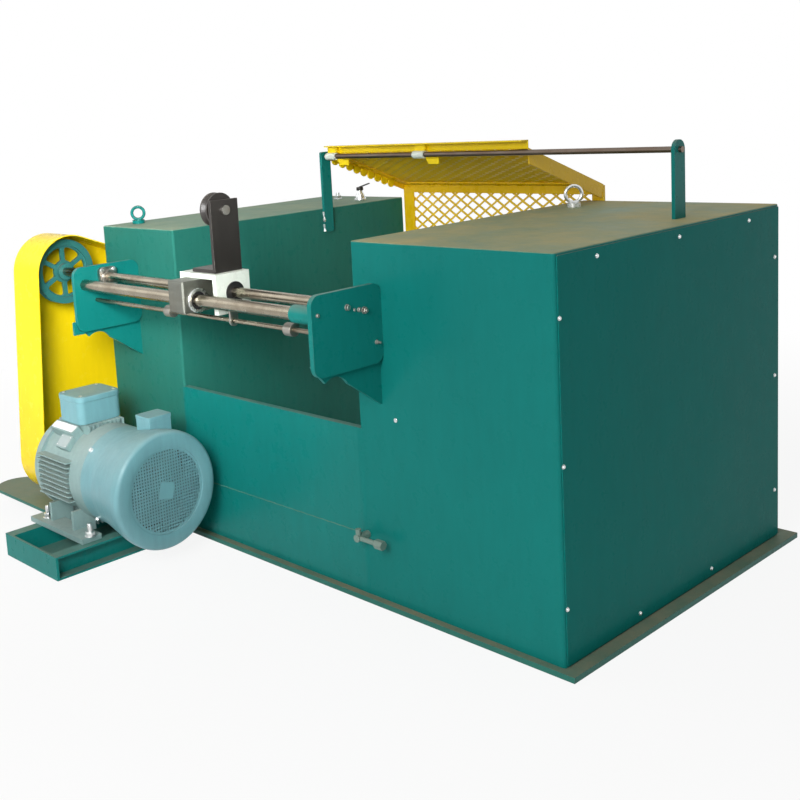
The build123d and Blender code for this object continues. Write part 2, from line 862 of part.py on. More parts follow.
def left_post():
    """The flat post bolted to the left cabinet's inner face."""
    high = rod_z + left_post_above_rod
    low = top_z - left_post_seat_length
    outline = Rectangle(post_width, high - low)
    outline = fillet(outline.vertices(), left_post_corner_radius)
    centre_z = (high + low) / 2
    post = plate_across_x(Pos(rod_y, centre_z) * outline, recess_left_x, post_thickness)
    bore = rod_diameter + 2 * fixed_clearance
    return post - bore_along_x(recess_left_x, recess_left_x + post_thickness, rod_y, rod_z, bore)


def right_post():
    """The round-topped post on the right cabinet."""
    start = right_x - right_post_inset
    outline = Pos(rod_y, (top_z + rod_z) / 2) * Rectangle(right_post_width, rod_z - top_z)
    outline += Pos(rod_y, rod_z) * Circle(right_post_width / 2)
    post = plate_across_x(outline, start, post_thickness)
    bore = rod_diameter + 2 * fixed_clearance
    return post - bore_along_x(start, start + post_thickness, rod_y, rod_z, bore)


def hinge_rod():
    end = right_x - right_post_inset + post_thickness + rod_end_stub
    return rod_along_x(recess_left_x, end, rod_y, rod_z, rod_diameter)


def guard_start_x():
    return recess_left_x + post_thickness + guard_left_clearance


def guard_top_bar():
    """The angle bar above the rod, with the two hinge sleeves and their tabs."""
    start = guard_start_x()
    end = start + guard_width
    low_z = rod_z + guard_bar_above_rod - guard_bar_size / 2
    bar = box_between((start, rod_y + rod_diameter, low_z),
                      (end, rod_y + rod_diameter + guard_bar_thickness, low_z + guard_bar_size))
    bar += box_between((start, rod_y - guard_bar_size / 2, low_z + guard_bar_size - guard_bar_thickness),
                       (end, rod_y + rod_diameter + guard_bar_thickness, low_z + guard_bar_size))
    bore = rod_diameter + 2 * running_clearance
    sleeve_diameter = bore + 2 * sleeve_wall
    sheet_y = rod_y + rod_diameter + guard_bar_thickness
    for offset in (0, middle_sleeve_offset):
        low = start + offset
        high = low + sleeve_length
        bar += rod_along_x(low, high, rod_y, rod_z, sleeve_diameter)
        bar += box_between((low, rod_y, rod_z), (high, sheet_y, low_z + guard_bar_thickness))
        bar += box_between((low, rod_y, rod_z - sleeve_diameter / 2),
                           (high + sleeve_tab_length, sheet_y,
                            rod_z - sleeve_diameter / 2 + sleeve_tab_thickness))
        bar -= bore_along_x(low, high + sleeve_tab_length, rod_y, rod_z, bore)
    return bar


def guard_profile_points():
    """Side view of the hinged guard: top, bend and lower end of its sheet."""
    top = (rod_y + rod_diameter + guard_bar_thickness, rod_z + guard_bar_above_rod - guard_bar_size / 2)
    bend = (rear_y + guard_rear_clearance, rod_z - guard_slope_drop)
    low = (bend[0], bend[1] - guard_rear_height)
    return top, bend, low


def mesh_openings(width, height, centre):
    """The staggered diamond openings of a mesh panel, drawn in the panel's own plane."""
    half_long = mesh_diamond_length / 2
    half_short = mesh_diamond_height / 2
    slant = math.atan2(half_short, half_long)
    tip = half_long - mesh_strand / 2 / math.sin(slant)
    side = half_short - mesh_strand / 2 / math.cos(slant)
    columns = int((width / 2 - tip) / half_long)
    rows = int((height / 2 - side) / half_short)
    places = [(column * half_long, row * half_short)
              for column in range(-columns, columns + 1) for row in range(-rows, rows + 1)
              if (column + row) % 2 == 0]
    with BuildSketch() as sketch:
        with Locations(*places):
            Polygon((-tip, 0), (0, -side), (tip, 0), (0, side))
    return Pos(*centre) * sketch.sketch


def mesh_panel(length):
    """A mesh sheet lying flat: X along the machine, Y down its slope, with plain margins."""
    sheet = Pos(guard_width / 2, length / 2) * Rectangle(guard_width, length)
    centre = (guard_width / 2, length / 2)
    openings = mesh_openings(guard_width - 2 * guard_side_margin, length - 2 * guard_bend_margin, centre)
    return extrude(sheet - openings, guard_sheet)


def with_side_legs(panel, length, low):
    """Adds the legs of the two side angles, standing square to the sheet from the height low."""
    for start in (0, guard_width - guard_angle_thickness):
        panel += box_between((start, 0, low),
                             (start + guard_angle_thickness, length, low + guard_angle_size))
    return panel


def guard_slope():
    """The sloping mesh panel with the hanging legs of its side angles."""
    top, bend, low = guard_profile_points()
    start = guard_start_x()
    drop = guard_angle_size + guard_sheet
    run = math.hypot(bend[0] - top[0], top[1] - bend[1])
    panel = with_side_legs(mesh_panel(run), run, -guard_angle_size)
    plane = Plane(origin=(start, top[0], top[1]), x_dir=(1, 0, 0),
                  z_dir=(0, top[1] - bend[1], bend[0] - top[0]))
    slope = plane * panel
    slope -= box_between((start, top[0] - drop, top[1] - 2 * drop),
                         (start + guard_width, top[0], top[1] + drop))
    slope -= box_between((start, bend[0], bend[1] - 2 * drop),
                         (start + guard_width, bend[0] + drop, bend[1] + drop))
    return slope - box_between((start, top[0], top_z - drop),
                               (start + guard_width, bend[0], top_z + guard_cabinet_clearance))


def guard_rear():
    """The upright mesh panel behind the recess, with side angles that stand out to the rear."""
    top, bend, low = guard_profile_points()
    panel = with_side_legs(mesh_panel(guard_rear_height), guard_rear_height, 0)
    plane = Plane(origin=(guard_start_x(), bend[0], bend[1]), x_dir=(1, 0, 0), z_dir=(0, 1, 0))
    return plane * panel


def lifting_eye(x, depth, diameter):
    """A forged lifting eye on the cabinet's top, its ring turned about the upright."""
    y = front_y + depth
    foot = Pos(x, y, top_z + eye_foot_height / 2) * Cylinder(eye_foot_diameter / 2, eye_foot_height)
    middle = (diameter - eye_wire_diameter) / 2
    ring_z = top_z + eye_foot_height + diameter / 2 - eye_ring_sink
    ring = Pos(x, y, ring_z) * Rot(0, 0, eye_turn) * Rot(90, 0, 0) * Torus(middle, eye_wire_diameter / 2)
    return foot + ring


def lever_valve():
    """The small valve on the left cabinet's top: a flange, a conical body and a flat lever."""
    x = left_x + valve_offset
    y = front_y + valve_depth
    thickness = valve_flange_thickness
    flange = Pos(0, 0, thickness / 2) * Cylinder(valve_flange_diameter / 2, thickness)
    cone = Cone(valve_body_diameter / 2, valve_neck_diameter / 2, valve_body_height - thickness)
    cone = Pos(0, 0, (thickness + valve_body_height) / 2) * cone
    lever = Box(valve_lever_length, valve_lever_width, valve_lever_thickness)
    lever = fillet(lever.edges().filter_by(Axis.Z), valve_lever_width / 3)
    lever = Rot(0, -valve_lever_slope, 0) * Pos(valve_lever_length / 3, 0, 0) * lever
    return Pos(x, y, top_z) * (flange + cone + Pos(0, 0, valve_body_height) * lever)


def drain_cock():
    """The drain cock low on the front: body, knob and a branch that ends in a hexagon nut."""
    x = recess_right_x + cock_right_cabinet_inset
    z = cock_height
    y = front_y - cock_branch_lead
    body = rod_along_y(x, front_y - cock_body_length, front_y, z, cock_body_diameter)
    body += Pos(x, y, z + cock_knob_height / 2) * Cylinder(cock_knob_diameter / 2, cock_knob_height)
    branch_end = x + cock_branch_length
    body += rod_along_x(x, branch_end, y, z, cock_branch_diameter)
    nut = Pos(y, z) * RegularPolygon(cock_nut_across / 2, 6, major_radius=False)
    return body + plate_across_x(nut, branch_end, cock_nut_length)


def all_parts():
    rail_left = left_x + rail_left_offset
    rail_right = left_x + rail_right_offset
    inner_left = left_bracket_x + bracket_thickness
    return {
        "base_plate": base_plate(),
        "left_cabinet": cabinet(left_x, recess_left_x),
        "right_cabinet": cabinet(recess_right_x, right_x),
        "front_sill": front_sill(),
        "right_end_cover": right_end_cover(),
        "left_bracket": left_bracket(),
        "right_bracket": right_bracket(),
        "left_shaft_bearing": flange_bearing(inner_left, 1),
        "right_shaft_bearing": flange_bearing(right_bracket_x, -1),
        "guide_bar": guide_bar(),
        "stop_rod": stop_rod(),
        "left_stop_collar": stop_collar(left_collar_offset),
        "right_stop_collar": stop_collar(right_collar_offset),
        "carriage_block": carriage_block(),
        "running_bushes": carriage_bushes() + [slide_bush()],
        "slide_block": slide_block(),
        "trip_fork": trip_fork(),
        "guide_arm": guide_arm(),
        "roller_pin": roller_pin(),
        "guide_roller": guide_roller(),
        "traverse_shaft": traverse_shaft(),
        "traverse_pulley": traverse_pulley(),
        "belt_guard": belt_guard(),
        "guard_shelf": guard_shelf(),
        "left_motor_rail": motor_rail(rail_left, 1),
        "right_motor_rail": motor_rail(rail_right, -1),
        "motor_base_end": motor_base_end(),
        "motor_frame": motor_frame(),
        "motor_end_shield": motor_end_shield(),
        "motor_shaft": motor_shaft(),
        "motor_pulley": motor_pulley(),
        "fan_cover": fan_cover(),
        "motor_feet": [motor_foot(-1), motor_foot(1)],
        "terminal_box": terminal_box(),
        "junction_box": junction_box(),
        "left_post": left_post(),
        "right_post": right_post(),
        "hinge_rod": hinge_rod(),
        "guard_top_bar": guard_top_bar(),
        "guard_slope": guard_slope(),
        "guard_rear": guard_rear(),
        "left_lifting_eye": lifting_eye(left_x + left_eye_offset, left_eye_depth, left_eye_ring_diameter),
        "right_lifting_eye": lifting_eye(recess_right_x + right_eye_inset, right_eye_depth,
                                         right_eye_ring_diameter),
        "lever_valve": lever_valve(),
        "drain_cock": drain_cock(),
    }


os.makedirs("parts", exist_ok=True)
for name, shape in all_parts().items():
    if isinstance(shape, list):
        shape = Compound(children=shape)
    export_step(shape, "parts/" + name + ".step")
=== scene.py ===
from math import atan2, cos, pi, radians, sin, sqrt, tau

import bmesh
import bpy
from bpy.props import FloatProperty, FloatVectorProperty, IntProperty, PointerProperty
from mathutils import Matrix, Vector


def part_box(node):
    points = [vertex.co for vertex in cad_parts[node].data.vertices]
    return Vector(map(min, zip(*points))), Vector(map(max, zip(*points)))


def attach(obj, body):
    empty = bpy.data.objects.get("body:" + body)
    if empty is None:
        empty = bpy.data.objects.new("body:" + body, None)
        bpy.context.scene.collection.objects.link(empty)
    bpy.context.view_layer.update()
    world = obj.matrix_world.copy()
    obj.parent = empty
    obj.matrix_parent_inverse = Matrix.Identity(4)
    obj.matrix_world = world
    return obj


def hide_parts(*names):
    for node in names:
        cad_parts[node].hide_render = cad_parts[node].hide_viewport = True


bl_info = {
    "name": "Wire drawing machine",
    "version": (1, 0, 0),
    "blender": (4, 5, 0),
    "location": "View3D > Sidebar > Wire machine",
    "description": "Dresses the packed wire drawing machine with its finishes, fasteners and mesh guard",
    "category": "Object",
}

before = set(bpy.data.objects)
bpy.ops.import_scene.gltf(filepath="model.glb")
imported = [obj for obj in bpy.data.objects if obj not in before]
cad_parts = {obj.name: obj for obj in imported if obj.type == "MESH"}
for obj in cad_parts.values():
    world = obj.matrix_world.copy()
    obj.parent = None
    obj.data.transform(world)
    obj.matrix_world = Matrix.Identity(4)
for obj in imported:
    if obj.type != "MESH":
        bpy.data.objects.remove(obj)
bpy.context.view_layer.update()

AXIS_X = Vector((1, 0, 0))
AXIS_Y = Vector((0, 1, 0))
AXIS_Z = Vector((0, 0, 1))
CORNERS = ((-1, -1), (-1, 1), (1, -1), (1, 1))
MATERIALS = {}


# Sizes and colours that a user would change

class HousingSettings(bpy.types.PropertyGroup):
    """Paint of the sheet-steel housing and its screws."""

    enamel: FloatVectorProperty(
        name="Housing enamel", description="Blue-green enamel of the cabinets, brackets and rails",
        subtype="COLOR", size=3, min=0, max=1, default=(0.006, 0.192, 0.172))
    gloss_roughness: FloatProperty(
        name="Enamel roughness", description="Roughness of the clean enamel", subtype="FACTOR",
        min=0, max=1, default=0.30)
    # This amount also sets the painted reflection on the cabinets' glossy tops, which their dust colour stands
    # in for.
    dust_and_reflection: FloatProperty(
        name="Dust", description="Amount of dust on the cabinets' tops", subtype="FACTOR", min=0, max=1,
        default=0.92)
    screw_diameter: FloatProperty(
        name="Cover screw head", description="Head diameter of the end cover's screws",
        unit="LENGTH", default=0.0085)


class GuardSettings(bpy.types.PropertyGroup):
    """Paint, expanded metal and frame of the hinged guard."""

    yellow: FloatVectorProperty(
        name="Guard yellow", description="Yellow paint of the belt guard and the mesh guard",
        subtype="COLOR", size=3, min=0, max=1, default=(0.95, 0.69, 0.006))
    diamond_length: FloatProperty(
        name="Diamond length", description="Long way of a diamond, along the machine",
        unit="LENGTH", default=0.052)
    diamond_height: FloatProperty(
        name="Diamond height", description="Short way of a diamond", unit="LENGTH", default=0.036)
    strand_width: FloatProperty(
        name="Strand width", description="Width of a strand of the mesh", unit="LENGTH", default=0.0066)
    strand_thickness: FloatProperty(
        name="Strand thickness", description="Sheet thickness of the mesh", unit="LENGTH", default=0.0025)
    angle_width: FloatProperty(
        name="Frame angle", description="Leg width of the guard's frame angles", unit="LENGTH", default=0.040)


class MotorSettings(bpy.types.PropertyGroup):
    """Enamel, grille and fan of the foot-mounted motor."""

    enamel: FloatVectorProperty(
        name="Motor enamel", description="Grey-blue enamel of the motor", subtype="COLOR",
        size=3, min=0, max=1, default=(0.150, 0.335, 0.370))
    grille_pitch: FloatProperty(
        name="Grille pitch", description="Distance between the square holes of the fan grille",
        unit="LENGTH", default=0.0092)
    grille_bar: FloatProperty(
        name="Grille bar", description="Width of the metal between two holes", unit="LENGTH", default=0.0036)
    blade_count: IntProperty(name="Fan blades", description="Blades of the cooling fan", default=5)


class StageSettings(bpy.types.PropertyGroup):
    """Studio light and camera."""

    key_power: FloatProperty(
        name="Key light", description="Power of the large soft light", unit="POWER", default=86)
    fill_power: FloatProperty(
        name="Fill light", description="Power of the fill light", unit="POWER", default=14)
    side_power: FloatProperty(
        name="Side light", description="Power of the light along the front", unit="POWER", default=7.5)
    sky: FloatProperty(name="Sky strength", description="Strength of the even light all round", default=0.42)
    lens: FloatProperty(name="Lens", description="Focal length of the camera in mm", default=50.0)


# Small mesh builders, in metres

def placed(origin, direction):
    """Matrix of a local frame whose Z points along a direction."""
    turn = Vector(direction).to_track_quat("Z", "Y").to_matrix().to_4x4()
    return Matrix.Translation(Vector(origin)) @ turn


def add_loop(bm, points, matrix):
    return [bm.verts.new(matrix @ Vector(p)) for p in points]


def circle(radius, along, count):
    """Points of a ring round the local Z axis."""
    return [(radius * cos(tau * i / count), radius * sin(tau * i / count), along) for i in range(count)]


def bridge(bm, first, second):
    """Quads between two closed rows of vertices."""
    for i in range(len(first)):
        j = (i + 1) % len(first)
        bm.faces.new((first[i], first[j], second[j], second[i]))


def add_rows(bm, rows, tip=None):
    """A closed form through rows of vertices, flat on both ends or with a tip on the last."""
    for first, second in zip(rows, rows[1:]):
        bridge(bm, first, second)
    last = rows[-1]
    bm.faces.new(list(reversed(rows[0])))
    if tip is None:
        bm.faces.new(last)
    else:
        for i, vert in enumerate(last):
            bm.faces.new((vert, last[(i + 1) % len(last)], tip))


def add_form(bm, rows, matrix=Matrix()):
    """A closed form through rows of points."""
    add_rows(bm, [add_loop(bm, points, matrix) for points in rows])


def add_turned(bm, profile, origin, direction, segments):
    """A turned form from pairs of (distance along the axis, radius), of which only the last radius may be 0."""
    matrix = placed(origin, direction)
    rows = [add_loop(bm, circle(radius, along, segments), matrix) for along, radius in profile if radius]
    length, last_radius = profile[-1]
    add_rows(bm, rows, None if last_radius else bm.verts.new(matrix @ Vector((0, 0, length))))


def add_turned_shell(bm, profile, origin, direction, segments):
    """A turned form round an open middle, from a closed loop of (along, radius) pairs."""
    matrix = placed(origin, direction)
    rows = [add_loop(bm, circle(radius, along, segments), matrix) for along, radius in profile]
    for first, second in zip(rows, rows[1:] + rows[:1]):
        bridge(bm, first, second)


def quarter_turn(steps):
    """Angles from nothing to a right angle."""
    return [pi / 2 * i / steps for i in range(steps + 1)]


def rounded_profile(length, radius, edge, steps=3):
    """Profile of a short cylinder with both end edges rounded."""
    angles = quarter_turn(steps)
    start = [(edge - edge * cos(a), radius - edge + edge * sin(a)) for a in angles]
    return start + [(length - edge + edge * sin(a), radius - edge + edge * cos(a)) for a in angles]


def add_prism(bm, outline, depth, matrix):
    """A flat outline, extruded along its local Z."""
    add_form(bm, [[(x, y, z) for x, y in outline] for z in (0, depth)], matrix)


def add_slab(bm, middle, width, depth, corner, height, steps=4):
    """An upright slab with rounded corners, from the middle of its foot."""
    add_prism(bm, rounded_outline(width, depth, corner, steps), height, Matrix.Translation(middle))


def add_block(bm, low, high):
    """A block between two corners."""
    outline = [(low[0], low[1]), (high[0], low[1]), (high[0], high[1]), (low[0], high[1])]
    add_prism(bm, outline, high[2] - low[2], Matrix.Translation((0, 0, low[2])))


def rounded_outline(width, height, radius, steps=4):
    """Corner points of a rectangle with rounded corners, centred on the origin."""
    points = []
    for cx, cy, start in ((1, 1, 0), (-1, 1, 90), (-1, -1, 180), (1, -1, 270)):
        for i in range(steps + 1):
            a = radians(start + 90 * i / steps)
            points.append((cx * (width / 2 - radius) + radius * cos(a),
                           cy * (height / 2 - radius) + radius * sin(a)))
    return points


def add_hex_head(bm, origin, direction, across, height, turn=0.0):
    """A hexagon head or nut with its chamfered top and a washer face."""
    matrix = placed(origin, direction) @ Matrix.Rotation(turn, 4, "Z")
    corner = across / sqrt(3)
    shares = ((0.92, 0), (1, 0.08), (1, 0.82), (0.86, 1))
    add_form(bm, [circle(corner * wide, height * high, 6) for wide, high in shares], matrix)


def add_bolt(bm, origin, direction, diameter, stud=0.0, turn=0.2):
    """A washer with a hexagon head, and a stud end where it is a nut."""
    washer = diameter * 0.2
    head = diameter * 0.75
    add_turned(bm, rounded_profile(washer, diameter * 1.05, washer * 0.4, 1), origin, direction, 24)
    up = Vector(direction).normalized()
    start = Vector(origin) + up * washer
    add_hex_head(bm, start, direction, diameter * 1.6, head, turn)
    if stud:
        profile = [(0, diameter / 2), (stud * 0.8, diameter / 2), (stud, diameter * 0.4)]
        add_turned(bm, profile, start + up * head, direction, 16)


def add_bead(bm, points, radii):
    """A weld bead along points, with a radius at each."""
    rows = []
    for i, (point, radius) in enumerate(zip(points, radii)):
        ahead = Vector(points[min(i + 1, len(points) - 1)])
        behind = Vector(points[max(i - 1, 0)])
        rows.append(add_loop(bm, circle(radius, 0, 8), placed(point, ahead - behind)))
    add_rows(bm, rows)


def add_weld(bm, start, end, radius):
    """A rippled fillet weld between two points."""
    start, end = Vector(start), Vector(end)
    count = max(4, int((end - start).length / 0.006))
    steps = range(count + 1)
    radii = [radius * (1 + 0.16 * sin(i * 2.1) + 0.08 * sin(i * 5.3)) for i in steps]
    add_bead(bm, [start.lerp(end, i / count) for i in steps], radii)


def add_plate(bm, centre, normal, up, width, height, thickness, corner):
    """A thin rounded plate on a surface, its width across and its height along up."""
    normal = Vector(normal).normalized()
    up = Vector(up).normalized()
    turn = Matrix((up.cross(normal), up, normal)).transposed().to_4x4()
    add_prism(bm, rounded_outline(width, height, corner), thickness, Matrix.Translation(Vector(centre)) @ turn)


def cut_away(bm, point, normal):
    """Cuts off what lies beyond a plane on its normal's side and closes the cut."""
    geometry = bm.verts[:] + bm.edges[:] + bm.faces[:]
    bmesh.ops.bisect_plane(bm, geom=geometry, dist=1e-6, plane_co=point, plane_no=normal, clear_outer=True)
    bmesh.ops.holes_fill(bm, edges=[edge for edge in bm.edges if edge.is_boundary], sides=0)


def middle_of(name):
    """Centre of a CAD node's box."""
    low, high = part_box(name)
    return (Vector(low) + Vector(high)) / 2


def new_object(name, data):
    thing = bpy.data.objects.new(name, data)
    bpy.context.scene.collection.objects.link(thing)
    return thing


def new_piece(bm, name, material):
    """Turns a bmesh into an object."""
    bmesh.ops.recalc_face_normals(bm, faces=bm.faces)
    mesh = bpy.data.meshes.new(name)
    bm.to_mesh(mesh)
    bm.free()
    mesh.materials.append(MATERIALS[material])
    return new_object(name, mesh)


def finish_piece(bm, name, material, body="housing", bevel=0.0, smooth_angle=35):
    """Turns a bmesh into a shaded piece that rides on a body."""
    piece = new_piece(bm, name, material)
    piece.data.shade_smooth()
    piece.data.set_sharp_from_angle(angle=radians(smooth_angle))
    if bevel:
        edges = piece.modifiers.new("softened_edges", "BEVEL")
        edges.width = bevel
        edges.segments = 2
        edges.limit_method = "ANGLE"
        edges.angle_limit = radians(40)
        edges.harden_normals = True
    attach(piece, body)
    return piece


# Shader helpers

class Nodes:
    """Short names for building a node tree."""

    def __init__(self, tree):
        self.tree = tree

    def add(self, kind, **values):
        node = self.tree.nodes.new(kind)
        for key, value in values.items():
            setattr(node, key, value)
        return node

    def join(self, source, target):
        self.tree.links.new(source, target)

    def put(self, socket, value):
        """Links a socket, or sets its value."""
        if isinstance(value, bpy.types.NodeSocket):
            self.join(value, socket)
        else:
            socket.default_value = value

    def math(self, operation, a, b, clamp=False):
        node = self.add("ShaderNodeMath", operation=operation, use_clamp=clamp)
        self.put(node.inputs[0], a)
        self.put(node.inputs[1], b)
        return node.outputs[0]

    def times(self, a, b, clamp=False):
        return self.math("MULTIPLY", a, b, clamp)

    def plus(self, a, b, clamp=False):
        return self.math("ADD", a, b, clamp)

    def mix(self, factor, a, b):
        """Mix of two colours."""
        node = self.add("ShaderNodeMix", data_type="RGBA")
        self.put(node.inputs["Factor"], factor)
        self.put(node.inputs[6], a)
        self.put(node.inputs[7], b)
        return node.outputs[2]

    def span(self, value, low, high, out_low=0.0, out_high=1.0):
        """Maps a value from one range to another, clamped."""
        node = self.add("ShaderNodeMapRange")
        self.put(node.inputs["Value"], value)
        for socket, number in zip(("From Min", "From Max", "To Min", "To Max"), (low, high, out_low, out_high)):
            self.put(node.inputs[socket], number)
        return node.outputs[0]

    def noise(self, vector, scale, detail=3.0, roughness=0.5):
        node = self.add("ShaderNodeTexNoise")
        self.put(node.inputs["Vector"], vector)
        for socket, number in (("Scale", scale), ("Detail", detail), ("Roughness", roughness)):
            node.inputs[socket].default_value = number
        return node.outputs[0]

    def place(self):
        """Object-space position, which equals the machine's own frame."""
        return self.add("ShaderNodeTexCoord").outputs["Object"]

    def stretched(self, vector, scale):
        node = self.add("ShaderNodeMapping", vector_type="POINT")
        self.put(node.inputs["Vector"], vector)
        node.inputs["Scale"].default_value = scale
        return node.outputs[0]


def shader_group(name):
    """A group of the table below, built once. Inputs are values, and so are outputs, except for normals."""
    if name in bpy.data.node_groups:
        return bpy.data.node_groups[name]
    build, inputs, outputs = SHADER_GROUPS[name]
    tree = bpy.data.node_groups.new(name, "ShaderNodeTree")
    for label, default in inputs.items():
        socket = tree.interface.new_socket(name=label, in_out="INPUT", socket_type="NodeSocketFloat")
        socket.default_value = default
    for label in outputs:
        kind = "NodeSocketVector" if label.endswith("Normal") else "NodeSocketFloat"
        tree.interface.new_socket(name=label, in_out="OUTPUT", socket_type=kind)
    nodes = Nodes(tree)
    source = nodes.add("NodeGroupInput")
    sink = nodes.add("NodeGroupOutput")
    build(nodes, source.outputs, sink.inputs)
    return tree


def enamel_skin(n, source, sink):
    """Brushed or sprayed enamel: slow waves of the sheet, orange peel, cloudy shade and small nibs."""
    place = n.place()
    wave = n.noise(place, 2.3, 1.0)
    peel = n.noise(place, 260.0, 2.0, 0.6)
    drag = n.noise(n.stretched(place, (9.0, 9.0, 1.6)), 6.0, 4.0, 0.6)
    cloud = n.noise(place, 1.7, 4.0, 0.55)
    fine = n.noise(place, 31.0, 5.0, 0.65)
    n.join(n.plus(n.times(wave, source["Wave"]), n.times(peel, source["Peel"])), sink["Height"])
    shade = n.plus(n.times(cloud, 0.6), n.times(drag, 0.4))
    n.join(n.span(shade, 0.34, 0.66), sink["Cloud"])
    n.join(n.span(fine, 0.35, 0.7), sink["Scuff"])


def dust_and_top_reflection(n, source, sink):
    """Dust that settles on upward faces, in blotches; on glossy tops its colour also paints their reflection."""
    place = n.place()
    parts = n.add("ShaderNodeSeparateXYZ")
    n.join(n.add("ShaderNodeNewGeometry").outputs["Normal"], parts.inputs[0])
    upward = n.span(parts.outputs[2], 0.25, 0.95)
    blotch = n.span(n.noise(place, 5.0, 6.0, 0.7), 0.3, 0.75, 0.35, 1.0)
    specks = n.span(n.noise(place, 140.0, 3.0, 0.8), 0.58, 0.75)
    both = n.plus(n.times(upward, blotch), n.times(n.times(specks, 0.25), upward), clamp=True)
    n.join(n.times(both, source["Amount"], clamp=True), sink["Mask"])


def edge_wear_and_highlight(n, source, sink):
    """Paint worn along edges, and an edge mask for a painted highlight along them, found from the rounded
    normal.
    """
    rounded = n.add("ShaderNodeBevel", samples=4)
    n.join(source["Width"], rounded.inputs["Radius"])
    alike = n.add("ShaderNodeVectorMath", operation="DOT_PRODUCT")
    n.join(rounded.outputs[0], alike.inputs[0])
    n.join(n.add("ShaderNodeNewGeometry").outputs["Normal"], alike.inputs[1])
    edge = n.span(alike.outputs["Value"], 0.995, 0.86)
    patch = n.span(n.noise(n.place(), 42.0, 5.0, 0.7), 0.44, 0.6)
    n.join(n.times(edge, patch, clamp=True), sink["Mask"])
    n.join(edge, sink["Highlight Edge"])
    n.join(rounded.outputs[0], sink["Rounded Normal"])


def metal_grain(n, source, sink):
    """Turning and grinding marks round a bar along the X axis, with rub marks and oil stains."""
    place = n.place()
    rings = n.noise(n.stretched(place, (1.0, 0.02, 0.02)), 900.0, 3.0, 0.7)
    rubs = n.noise(n.stretched(place, (1.2, 14.0, 14.0)), 9.0, 4.0, 0.6)
    stain = n.noise(place, 14.0, 5.0, 0.65)
    n.join(n.times(rings, source["Depth"]), sink["Height"])
    n.join(n.span(rubs, 0.35, 0.7), sink["Rub"])
    n.join(n.span(stain, 0.42, 0.72), sink["Stain"])


def sand_casting(n, source, sink):
    """Sand-cast skin under paint: lumps, grain and pits."""
    place = n.place()
    lumps = n.noise(place, 70.0, 4.0, 0.6)
    grain = n.noise(place, 420.0, 3.0, 0.7)
    pits = n.add("ShaderNodeTexVoronoi", feature="F1")
    n.join(place, pits.inputs["Vector"])
    pits.inputs["Scale"].default_value = 210.0
    hollow = n.span(pits.outputs["Distance"], 0.05, 0.22)
    height = n.plus(n.plus(n.times(lumps, 0.6), n.times(grain, 0.25)), n.times(hollow, 0.15))
    n.join(n.times(height, source["Depth"]), sink["Height"])
    n.join(n.span(lumps, 0.35, 0.65), sink["Tone"])


SHADER_GROUPS = {
    "enamel_skin": (enamel_skin, {"Wave": 0.004, "Peel": 0.0002}, ("Height", "Cloud", "Scuff")),
    "dust_and_top_reflection": (dust_and_top_reflection, {"Amount": 0.5}, ("Mask",)),
    "edge_wear_and_highlight": (edge_wear_and_highlight, {"Width": 0.0015}, ("Mask", "Highlight Edge", "Rounded Normal")),
    "metal_grain": (metal_grain, {"Depth": 0.00002}, ("Height", "Rub", "Stain")),
    "sand_casting": (sand_casting, {"Depth": 0.0009}, ("Height", "Tone")),
}


def placed_group(n, name, **values):
    node = n.add("ShaderNodeGroup", node_tree=shader_group(name))
    for key, value in values.items():
        n.put(node.inputs[key.title()], value)
    return node.outputs


def new_material(name):
    """A named material with its node helper and its shader."""
    material = bpy.data.materials.new(name)
    material.use_nodes = True
    MATERIALS[name] = material
    return Nodes(material.node_tree), material.node_tree.nodes["Principled BSDF"]


def shade_of(value, factor=1.0):
    return tuple(min(1.0, c * factor) for c in value) + (1.0,)


def surface(n, shader, base, rough, height, normal):
    """Joins a colour, a roughness and a bump to the shader."""
    relief = n.add("ShaderNodeBump")
    relief.inputs["Strength"].default_value = 1.0
    relief.inputs["Distance"].default_value = 1.0
    n.join(height, relief.inputs["Height"])
    n.join(normal, relief.inputs["Normal"])
    n.join(base, shader.inputs["Base Color"])
    n.join(rough, shader.inputs["Roughness"])
    n.join(relief.outputs[0], shader.inputs["Normal"])


def painted(name, colour, roughness, dust_and_reflection=0.5, peel=0.00012, wave=0.004, wear=0.5, under=(0.20, 0.20, 0.19),
            dust_and_reflection_colour=(0.27, 0.24, 0.18), contrast=0.14, painted_edge_highlight=1.35, gloss=0.5):
    """Enamel on steel with clouds, orange peel, dust that also paints a reflection on glossy tops, a painted
    highlight along edges, and worn corners.
    """
    n, shader = new_material(name)
    shader.inputs["Specular IOR Level"].default_value = gloss
    skin = placed_group(n, "enamel_skin", wave=wave, peel=peel)
    wear_and_highlight = placed_group(n, "edge_wear_and_highlight", width=0.0014)
    dust_and_reflection_mask = placed_group(n, "dust_and_top_reflection", amount=dust_and_reflection)
    base = n.mix(skin["Cloud"], shade_of(colour, 1 - contrast), shade_of(colour, 1 + contrast))
    # Painted highlight: along edges the paint turns to a lighter copy of itself, or to a darker one where the
    # factor is under one.
    base = n.mix(n.times(wear_and_highlight["Highlight Edge"], 0.45), base, shade_of(colour, painted_edge_highlight))
    base = n.mix(n.times(wear_and_highlight["Mask"], wear), base, shade_of(under))
    base = n.mix(dust_and_reflection_mask["Mask"], base, shade_of(dust_and_reflection_colour))
    rough = n.span(skin["Scuff"], 0, 1, roughness * 0.85, roughness * 1.25)
    rough = n.plus(rough, n.times(dust_and_reflection_mask["Mask"], 0.5), clamp=True)
    rough = n.plus(rough, n.times(wear_and_highlight["Mask"], 0.15), clamp=True)
    surface(n, shader, base, rough, skin["Height"], wear_and_highlight["Rounded Normal"])


